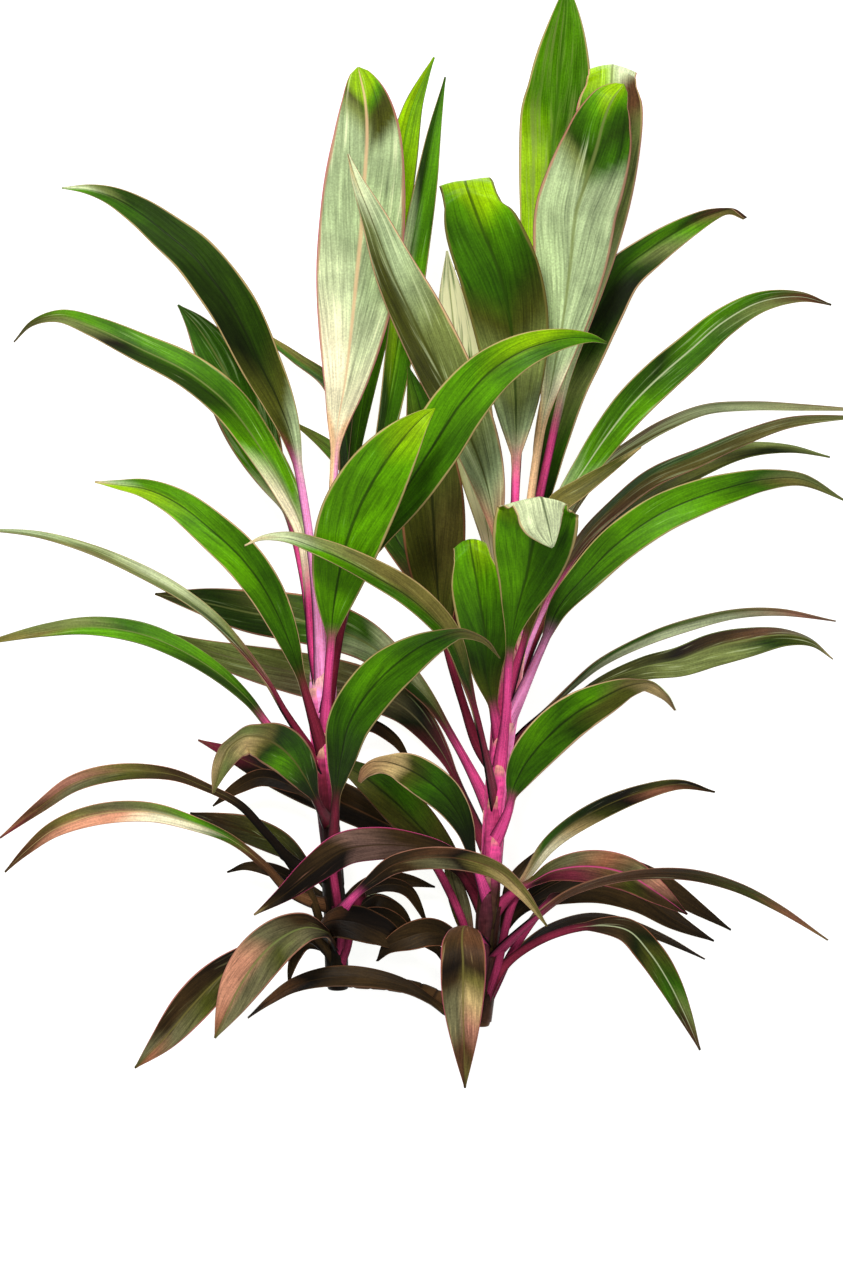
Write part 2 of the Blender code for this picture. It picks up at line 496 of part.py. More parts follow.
class Tube:
    """A cane or the rootstock: a round stem that tapers along its path."""

    def __init__(self, rows):
        self.points = place([row[:3] for row in rows])
        self.radii = np.array([row[3] for row in rows]) / 1000.0

    def mesh_data(self, wider=0.0):
        """Corner points and faces of the stem, or of a copy that is wider all round."""
        tangent = unit(np.gradient(self.points, axis=0))
        side = unit(np.cross(np.array((0.0, 0.0, 1.0)), tangent))
        out = np.cross(tangent, side)
        angle = np.arange(CANE_SIDES) * 2.0 * np.pi / CANE_SIDES
        ring = (np.cos(angle)[None, :, None] * side[:, None, :]
                + np.sin(angle)[None, :, None] * out[:, None, :])
        radius = (self.radii + wider)[:, None, None]
        centre = self.points.copy()
        centre[0] -= tangent[0] * wider
        centre[-1] += tangent[-1] * wider
        points = (centre[:, None, :] + radius * ring).reshape(-1, 3)
        faces = []
        for i in range(len(centre) - 1):
            for j in range(CANE_SIDES):
                a = i * CANE_SIDES + j
                b = i * CANE_SIDES + (j + 1) % CANE_SIDES
                faces.append((a, b, b + CANE_SIDES))
                faces.append((a, b + CANE_SIDES, a + CANE_SIDES))
        faces.append(tuple(range(CANE_SIDES - 1, -1, -1)))
        last = (len(centre) - 1) * CANE_SIDES
        faces.append(tuple(range(last, last + CANE_SIDES)))
        return points, faces

    def seat(self, foot):
        """A foot moved onto the stem, and how far it may still be lowered and lifted."""
        level = self.points[:, 1]
        x, z = (np.interp(foot[1], level, self.points[:, k]) for k in (0, 2))
        room = np.interp(foot[1], level, self.radii) - FOOT_DEPTH
        rise = float(np.clip(foot[2] - z, -room, room))
        return np.array((x, foot[1], z + rise)), (-room - rise, room - rise)

    def nearest(self, points):
        """Distance from the stem's middle line, and the radius and height there."""
        fine = np.linspace(0.0, len(self.points) - 1, 240)
        index = np.arange(len(self.points))
        line = np.column_stack([np.interp(fine, index, self.points[:, k]) for k in range(3)])
        radius = np.interp(fine, index, self.radii)
        gap = np.linalg.norm(points[:, None, :] - line[None, :, :], axis=2)
        best = gap.argmin(axis=1)
        return gap[np.arange(len(points)), best], radius[best]

    def cells(self):
        """Grid cells that the stem covers: key, height of its middle, half its depth."""
        fine = np.linspace(0.0, len(self.points) - 1, 600)
        index = np.arange(len(self.points))
        line = np.column_stack([np.interp(fine, index, self.points[:, k]) for k in range(3)])
        radius = np.interp(fine, index, self.radii)
        found = {}
        for point, r in zip(line, radius):
            reach = int(r / CELL) + 1
            column, row = int(point[0] // CELL), int(point[1] // CELL)
            for dx in range(-reach, reach + 1):
                for dy in range(-reach, reach + 1):
                    off = math.hypot((column + dx + 0.5) * CELL - point[0],
                                     (row + dy + 0.5) * CELL - point[1])
                    if off < r + 0.5 * CELL:
                        deep = math.sqrt(max(r * r - off * off, (0.3 * r) ** 2))
                        key = (column + dx, row + dy)
                        if deep > found.get(key, (0.0, 0.0))[1]:
                            found[key] = (point[2], deep)
        return found


def leaf_cells(shape):
    """Grid cells that a leaf covers: key, station, share of the next, height, half depth."""
    middle, half_thick, _ = shape.grid(spare=OUTLINE_SPARE)
    points = middle.reshape(-1, 3)
    thick = half_thick.ravel()
    rows = len(shape.places)
    station = np.repeat(np.arange(shape.count + 1), rows)
    found = []
    for triangle in panels(shape.count, rows - 1):
        a, b, c = points[triangle]
        area = (b[0] - a[0]) * (c[1] - a[1]) - (c[0] - a[0]) * (b[1] - a[1])
        if abs(area) < 1e-9:
            continue
        normal = np.cross(b - a, c - a)
        slope = min(math.hypot(normal[0], normal[1]) / max(abs(normal[2]), 1e-12), STEEPEST)
        low = np.minimum(np.minimum(a, b), c)
        high = np.maximum(np.maximum(a, b), c)
        columns = np.arange(int(low[0] // CELL), int(high[0] // CELL) + 1)
        lines = np.arange(int(low[1] // CELL), int(high[1] // CELL) + 1)
        x, y = np.meshgrid((columns + 0.5) * CELL, (lines + 0.5) * CELL, indexing="ij")
        wb = ((x - a[0]) * (c[1] - a[1]) - (c[0] - a[0]) * (y - a[1])) / area
        wc = ((b[0] - a[0]) * (y - a[1]) - (x - a[0]) * (b[1] - a[1])) / area
        inside = (wb > -0.02) & (wc > -0.02) & (wb + wc < 1.02)
        first = station[triangle].min()
        for m, n in np.argwhere(inside):
            weights = np.array((1.0 - wb[m, n] - wc[m, n], wb[m, n], wc[m, n]))
            height = weights.dot((a[2], b[2], c[2]))
            share = weights.dot(station[triangle]) - first
            half = weights.dot(thick[triangle]) * math.hypot(1.0, slope) + 0.35 * CELL * slope
            half = min(half, THICKEST_CROSSING)
            found.append(((columns[m], lines[n]), first, share, height, half))
    return found


def crossings(shapes, tubes, homes):
    """Every place where two leaves, or a leaf and a stem, lie over the same grid cell."""
    cells = {}
    for number, shape in enumerate(shapes):
        centre = shape.spine.at(shape.spine.points, shape.along)
        gap, radius = tubes[homes[number]].nearest(centre)
        for key, first, share, height, half in leaf_cells(shape):
            buried = gap[first] < radius[first] and share < 0.6
            cells.setdefault(key, []).append((number, first, share, height, half, buried))
    for number, tube in enumerate(tubes):
        for key, (height, half) in tube.cells().items():
            if key in cells:
                cells[key].append((len(shapes) + number, 0, 0.0, height, half, False))
    pairs = []
    for key, entries in cells.items():
        for m, one in enumerate(entries):
            for other in entries[m + 1:]:
                same = one[0] == other[0]
                if same and abs(one[1] - other[1]) < 4:
                    continue
                if one[0] >= len(shapes) or one[5] or other[5]:
                    continue
                if other[0] >= len(shapes):
                    if homes[one[0]] == other[0] - len(shapes) and one[1] < 2:
                        continue
                pairs.append((key, one, other))
    return pairs


def patches(pairs):
    """Number of the connected patch that each crossing belongs to."""
    by_place = {}
    for index, (key, one, other) in enumerate(pairs):
        by_place.setdefault((key, one[0], other[0]), []).append(index)
    patch = [-1] * len(pairs)
    count = 0
    for start in range(len(pairs)):
        if patch[start] >= 0:
            continue
        patch[start] = count
        waiting = [start]
        while waiting:
            key, one, other = pairs[waiting.pop()]
            for step in ((1, 0), (-1, 0), (0, 1), (0, -1), (0, 0)):
                place_key = ((key[0] + step[0], key[1] + step[1]), one[0], other[0])
                for near in by_place.get(place_key, ()):
                    if patch[near] < 0 and abs(pairs[near][1][1] - one[1]) < 3 \
                            and abs(pairs[near][2][1] - other[1]) < 3:
                        patch[near] = count
                        waiting.append(near)
        count += 1
    return np.array(patch), count


def lift_clear(shapes, tubes, homes, rounds=400):
    """Lift or lower stretches of leaf until leaves that cross lie clear of each other.

    Whichever of two crossing leaves is drawn higher over a patch stays above over all of it.
    """
    pairs = crossings(shapes, tubes, homes)
    patch, count = patches(pairs)
    most = max(shape.count for shape in shapes) + 2
    sides = []
    for which in (1, 2):
        number = np.array([pair[which][0] for pair in pairs])
        first = np.array([pair[which][1] for pair in pairs])
        share = np.array([pair[which][2] for pair in pairs])
        height = np.array([pair[which][3] for pair in pairs])
        half = np.array([pair[which][4] for pair in pairs])
        sides.append((number, first, share, height, half))
    (a, a_first, a_share, a_height, a_half), (b, b_first, b_share, b_height, b_half) = sides
    order = np.bincount(patch, a_height - b_height, count)[patch]
    sign = np.where(order > 0.0, 1.0, -1.0)
    moves_a = a < len(shapes)
    moves_b = b < len(shapes)
    part = np.where(moves_a & moves_b, 0.5, 1.0)
    lift = np.zeros((len(shapes) + len(tubes), most))
    for step in range(rounds):
        z_a = a_height + (1.0 - a_share) * lift[a, a_first] + a_share * lift[a, a_first + 1]
        z_b = b_height + (1.0 - b_share) * lift[b, b_first] + b_share * lift[b, b_first + 1]
        z_a = np.maximum(z_a, 0.0005)
        z_b = np.maximum(z_b, 0.0005)
        need = a_half + b_half + LEAF_GAP - sign * (z_a - z_b)
        push = np.where(need > 0.0, need, 0.0) * part * PUSH_SHARE
        up = np.zeros_like(lift)
        down = np.zeros_like(lift)
        both = ((a, a_first, sign, moves_a), (b, b_first, -sign, moves_b))
        for which, first, way, moves in both:
            amount = push * way * moves
            for station in (first, first + 1):
                np.maximum.at(up, (which, station), amount)
                np.minimum.at(down, (which, station), amount)
        lift += up + down
        if step < rounds * EVEN_ROUNDS:
            for number, shape in enumerate(shapes):
                row = lift[number, :shape.count + 1]
                padded = np.concatenate((row[:1], row, row[-1:]))
                sides_sum = padded[:-2] + padded[2:]
                kept = (1.0 - 2.0 * EVEN_SHARE) * row
                lift[number, :shape.count + 1] = kept + EVEN_SHARE * sides_sum
        for number, shape in enumerate(shapes):
            lift[number, 0] = np.clip(lift[number, 0], *shape.spine.foot_room)
            centre = shape.spine.at(shape.spine.points, shape.along)[:, 2]
            row = lift[number, :shape.count + 1]
            lowest = np.where(centre < 0.004, -PRESS_DEPTH, 0.004) - centre
            lift[number, :shape.count + 1] = np.maximum(row, np.minimum(lowest, 0.0))
    for number, shape in enumerate(shapes):
        shape.lift = lift[number, :shape.count + 1].copy()


def finish_material(name, colour, roughness):
    """A plain finish for one slot."""
    material = bpy.data.materials.new(name)
    material.use_nodes = True
    shader = material.node_tree.nodes["Principled BSDF"]
    shader.inputs["Base Color"].default_value = (*colour, 1.0)
    shader.inputs["Roughness"].default_value = roughness
    shader.inputs["Metallic"].default_value = 0.0
    return material


def add_object(name, points, faces, material=None):
    """An object of its own from corner points and faces."""
    mesh = bpy.data.meshes.new(name)
    mesh.from_pydata([tuple(point) for point in points], [], [tuple(map(int, f)) for f in faces])
    mesh.update()
    if material:
        mesh.materials.append(material)
    item = bpy.data.objects.new(name, mesh)
    bpy.context.collection.objects.link(item)
    return item


def cut_with(item, cutter):
    """Seat an item on a stem, whose wider copy is taken away from it."""
    seat = item.modifiers.new("seat on " + cutter.name, "BOOLEAN")
    seat.operation = "DIFFERENCE"
    seat.solver = "EXACT"
    seat.object = cutter


def main():
    for item in list(bpy.data.objects):
        bpy.data.objects.remove(item)
    tubes = [Tube(RIGHT_CANE), Tube(LEFT_CANE)]
    names = ["cane_right", "cane_left"]
    bark = finish_material("cane_bark", CANE_COLOUR, 0.5)
    cutters = []
    for name, tube in zip(names, tubes):
        add_object(name, *tube.mesh_data(), bark)
        cutter = add_object(name + "_seat_cutter", *tube.mesh_data(wider=SEAT_GAP))
        cutter.hide_render = True
        cutter.display_type = "WIRE"
        cutters.append(cutter)
    root = add_object("rootstock", *Tube(ROOTSTOCK).mesh_data(),
                      finish_material("root_bark", ROOT_COLOUR, 0.8))
    for cutter in cutters:
        cut_with(root, cutter)
    leaves = RIGHT_LEAVES + LEFT_LEAVES
    homes = [0] * len(RIGHT_LEAVES) + [1] * len(LEFT_LEAVES)
    shapes = [LeafShape(leaf, tubes[home]) for leaf, home in zip(leaves, homes)]
    lift_clear(shapes, tubes + [Tube(ROOTSTOCK)], homes)
    tones = {tone: finish_material("leaf_" + tone, colour, 0.4) for tone, colour in TONES.items()}
    for shape, home in zip(shapes, homes):
        item = add_object(shape.leaf.name, *shape.mesh_data(), tones[shape.leaf.tone])
        cut_with(item, cutters[home])


main()
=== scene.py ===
"""Looks of the ti plant: fine painted leaves and stems, a floor, soft light and the camera.

Each leaf follows the same drawn path as in the part's source. It is rebuilt here as a
finer surface, lifted as its CAD solid was, and painted from a few named colours. Units are
metres: +X is to the right in the photograph, +Y up in it, and +Z points to the eye.
"""
import logging
import math
from dataclasses import dataclass, field
from enum import Enum

import bpy
import numpy as np
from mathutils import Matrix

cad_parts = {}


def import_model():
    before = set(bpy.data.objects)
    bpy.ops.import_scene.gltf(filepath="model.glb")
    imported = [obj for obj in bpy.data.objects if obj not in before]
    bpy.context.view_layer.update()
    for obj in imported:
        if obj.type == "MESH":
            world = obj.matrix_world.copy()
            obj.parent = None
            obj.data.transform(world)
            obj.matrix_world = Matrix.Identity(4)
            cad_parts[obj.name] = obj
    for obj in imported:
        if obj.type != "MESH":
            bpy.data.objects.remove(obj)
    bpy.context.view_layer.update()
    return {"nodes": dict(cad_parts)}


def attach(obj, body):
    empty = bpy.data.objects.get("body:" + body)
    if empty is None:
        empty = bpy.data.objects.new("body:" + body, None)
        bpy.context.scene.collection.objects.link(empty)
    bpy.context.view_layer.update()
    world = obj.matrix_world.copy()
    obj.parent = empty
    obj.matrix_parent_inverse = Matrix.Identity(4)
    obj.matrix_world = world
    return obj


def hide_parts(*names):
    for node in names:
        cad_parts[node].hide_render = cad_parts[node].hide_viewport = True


LOG = logging.getLogger("ti_plant")
Array = np.ndarray
Socket = bpy.types.NodeSocket

# Driving dimensions, the same as in the part's source
PIXEL = 0.001              # one pixel of the photograph, at the height of the canes
EYE_HEIGHT = 4.2
CANE_HEIGHT = 0.1
MIDDLE_PX = (421.5, 632.0)
PHOTO_HEIGHT_PX = 1264
SETTLE = 0.018             # leaf paths are drawn from a plane this far under the surface
ORIGIN_SHIFT = (-0.0002, -0.1031)
PETIOLE_WIDTH = 0.0085
PETIOLE_THICK = 0.0048
PETIOLE_EDGE = 0.55        # thickness of a petiole's edges, as a part of its middle
BLADE_THICK = 0.0009
BLADE_FROM = 0.7           # a blade starts at this part of the petiole
BLADE_STEP = 0.3           # and is full this far past it, as a part of the leaf
RIB_RISE = 2.6             # how many blades thick the midrib is at its foot
RIB_THICK_TIP = 0.0014
TIP_WIDTH = 0.0022
PRESS_HEIGHT = 0.014       # a leaf lower than this flattens against the surface
WIDE_BLADE = 0.040         # blades wider than this have five rows of corners, others three
WIDE_ROWS = 5
NARROW_ROWS = 3
WAVE_HEIGHT = 0.03
WAVES = 3.2
LEAST_FOLD = 0.02          # a blade folded less than this, in radians, has no waves
LEFT_WAVE_LAG = 2.1
TIP_TURN_FROM = 0.62
LEVEL_PLACE = 0.55         # the blade is level across here, before its own turn
PANEL_LENGTH = 0.034
FEWEST_PANELS = 7
MOST_PANELS = 12
BEND_WEIGHT = 0.28
MOST_BEND = 40.0
FOOT_DEPTH = 0.0045        # a foot starts at least this far inside its cane's surface

# Bends of the fine leaves
BEND_AVERAGE = 9           # the bend is averaged over this many points of the spine
CREASE_FROM = 22.0         # bends sharper than this, in radians for each metre, lie flatter
CREASE_FULL = 80.0         # at this bend the two halves of the blade lie level
BEND_NARROW = 0.2          # how much narrower the blade is at such a bend
BEND_REACH = 0.02          # and how far from the bend that is felt
ARCH = 0.009               # how far the edges of a blade drop at such a bend
ARCH_REACH = 0.03          # and how far from the bend that is felt
BEND_BEFORE = 0.04         # the way of the blade is read this far before the bend

SHADE = 0.55               # how much light is lost deep between the canes
SHADE_HEIGHT = 0.11        # above this height no light is lost
SHADE_REACH = (0.03, 0.12)  # light is lost this near a cane, and ever less over this much more
GRAIN_STEP = 3.7           # moves the noise on from each leaf to the next
UV_NAME = "blade"


# Some colours also stand in for light and shade: DARK and BLACK serve mostly as painted shade, and
# LIME and BRIGHT also as painted sunlit and lit-through green.
class Hue(Enum):
    """Colours, judged as sRGB values from 0 to 255."""
    LIME = (150, 196, 0)
    BRIGHT = (86, 148, 0)
    GREEN = (54, 100, 2)
    DEEP = (36, 62, 2)
    DARK = (20, 30, 4)
    BLACK = (20, 12, 6)
    MOSS = (72, 76, 20)
    SAGE = (118, 130, 68)
    ASH = (114, 110, 76)
    SILVER = (172, 192, 142)
    PALE = (208, 220, 172)
    CREAM = (250, 242, 204)
    PEACH = (232, 190, 146)
    TAN = (198, 172, 116)
    OLIVE = (116, 108, 52)
    BRONZE = (58, 42, 20)
    BROWN = (94, 62, 38)
    SALMON = (158, 102, 74)
    BLUSH = (190, 130, 108)
    SHELL = (226, 158, 126)
    PINK = (255, 160, 222)
    ROSE = (226, 76, 146)
    MAROON = (116, 32, 54)
    WINE = (146, 42, 82)
    MAUVE = (116, 88, 78)

    @property
    def linear(self) -> Array:
        """The colour as linear red, green and blue."""
        value = np.array(self.value) / 255.0
        return np.where(value <= 0.04045, value / 12.92, ((value + 0.055) / 1.055) ** 2.4)


# The same colours by their short names, in the same order
(LIME, BRIGHT, GREEN, DEEP, DARK, BLACK, MOSS, SAGE, ASH, SILVER, PALE, CREAM, PEACH, TAN, OLIVE,
 BRONZE, BROWN, SALMON, BLUSH, SHELL, PINK, ROSE, MAROON, WINE, MAUVE) = Hue


class Facing(Enum):
    """Which side of a leaf the eye sees along most of its length."""
    UPPER = 1
    UNDER = -1


class Tone(str, Enum):
    """Which look a leaf has."""
    GREEN = "green"
    DARK = "dark"
    BRONZE = "bronze"


@dataclass(frozen=True)
class Leaf:
    """One leaf: its path from foot to tip, and how the blade is turned along it."""
    name: str
    width: float            # widest part of the blade, mm
    path: tuple             # pixels across and down, height in mm
    face: float = 0.0       # 0 shows the upper side to the eye, 180 the underside
    fold: float = 14.0      # angle by which each half of the blade is raised
    neck: float = 0.22      # part of the length that is petiole
    peak: float = 0.46      # where along the blade it is widest
    blunt: float = 0.95     # lower is rounder at both ends
    tip_turn: float = 0.0   # extra turn of the blade towards its tip
    tone: Tone = Tone.GREEN

    @property
    def facing(self) -> Facing:
        """The side that faces the eye before the blade's own turn."""
        return Facing.UNDER if round(self.face / 180.0) % 2 else Facing.UPPER


@dataclass(frozen=True)
class Paint:
    """Colours of one leaf, read from foot to tip, with painted shadows, painted shade and painted
    light among its own colours.

    A row of seen is a place along the leaf, then the colour of its left half and, if it
    differs, of its right half, as the eye sees them looking from foot to tip.
    """
    stalk: Hue
    seen: tuple             # rows of the side that the eye sees
    back: Hue = PALE        # the other side
    rib: Hue = DEEP
    edge: Hue = TAN
    line: Hue = BROWN       # the thin line on the edge
    bands: Hue = PALE
    streak: float = 0.12    # how much of the blade the pale bands cover
    stalk_right: Hue | None = None  # the stalk's right half, where it differs

    @classmethod
    def dark(cls, start: float, middle: float, edge: Hue = BROWN) -> "Paint":
        """A bronze blade, nearly black with painted shade except round its middle."""
        return cls(BRONZE, ((start, BLACK), (middle, BRONZE), (1.0, BLACK)), rib=BRONZE,
                   edge=edge, streak=0.0)


# Canes: photograph pixels across and down, height in mm, radius in mm
RIGHT_CANE = [
    (479, 1024, 70, 11.0), (483, 985, 78, 11.0), (486, 950, 85, 10.5), (491, 880, 95, 10.0),
    (496, 800, 103, 10.0), (503, 730, 108, 11.0), (507, 690, 110, 12.5), (510, 645, 110, 13.5),
    (511, 618, 109, 11.5), (512, 602, 108, 7.0), (512, 597, 108, 2.5),
]
LEFT_CANE = [
    (338, 988, 60, 11.0), (337, 950, 68, 11.0), (336, 915, 76, 10.5), (332, 850, 85, 10.0),
    (326, 780, 92, 10.5), (323, 725, 95, 12.0), (322, 690, 95, 13.0), (323, 655, 94, 11.5),
    (324, 636, 93, 7.0), (324, 631, 93, 2.5),
]
ROOTSTOCK = [
    (338, 978, 62, 8.0), (360, 981, 58, 8.0), (385, 983, 56, 7.5), (420, 990, 57, 7.5),
    (450, 1003, 63, 8.0), (480, 1014, 72, 8.0),
]
# Colours of the canes and the rootstock, from the foot up or from left to right. The dark rows low
# on the canes are partly the bark's own colour and partly painted shade.
RIGHT_PAINT = ((0.0, BROWN), (0.08, BRONZE), (0.32, BRONZE), (0.42, ROSE), (0.75, ROSE),
               (0.9, PINK))
LEFT_PAINT = ((0.48, BLACK), (0.6, MAROON), (0.67, ROSE), (0.8, PINK))
ROOT_PAINT = ((0.0, BROWN), (0.5, BRONZE), (1.0, BROWN))

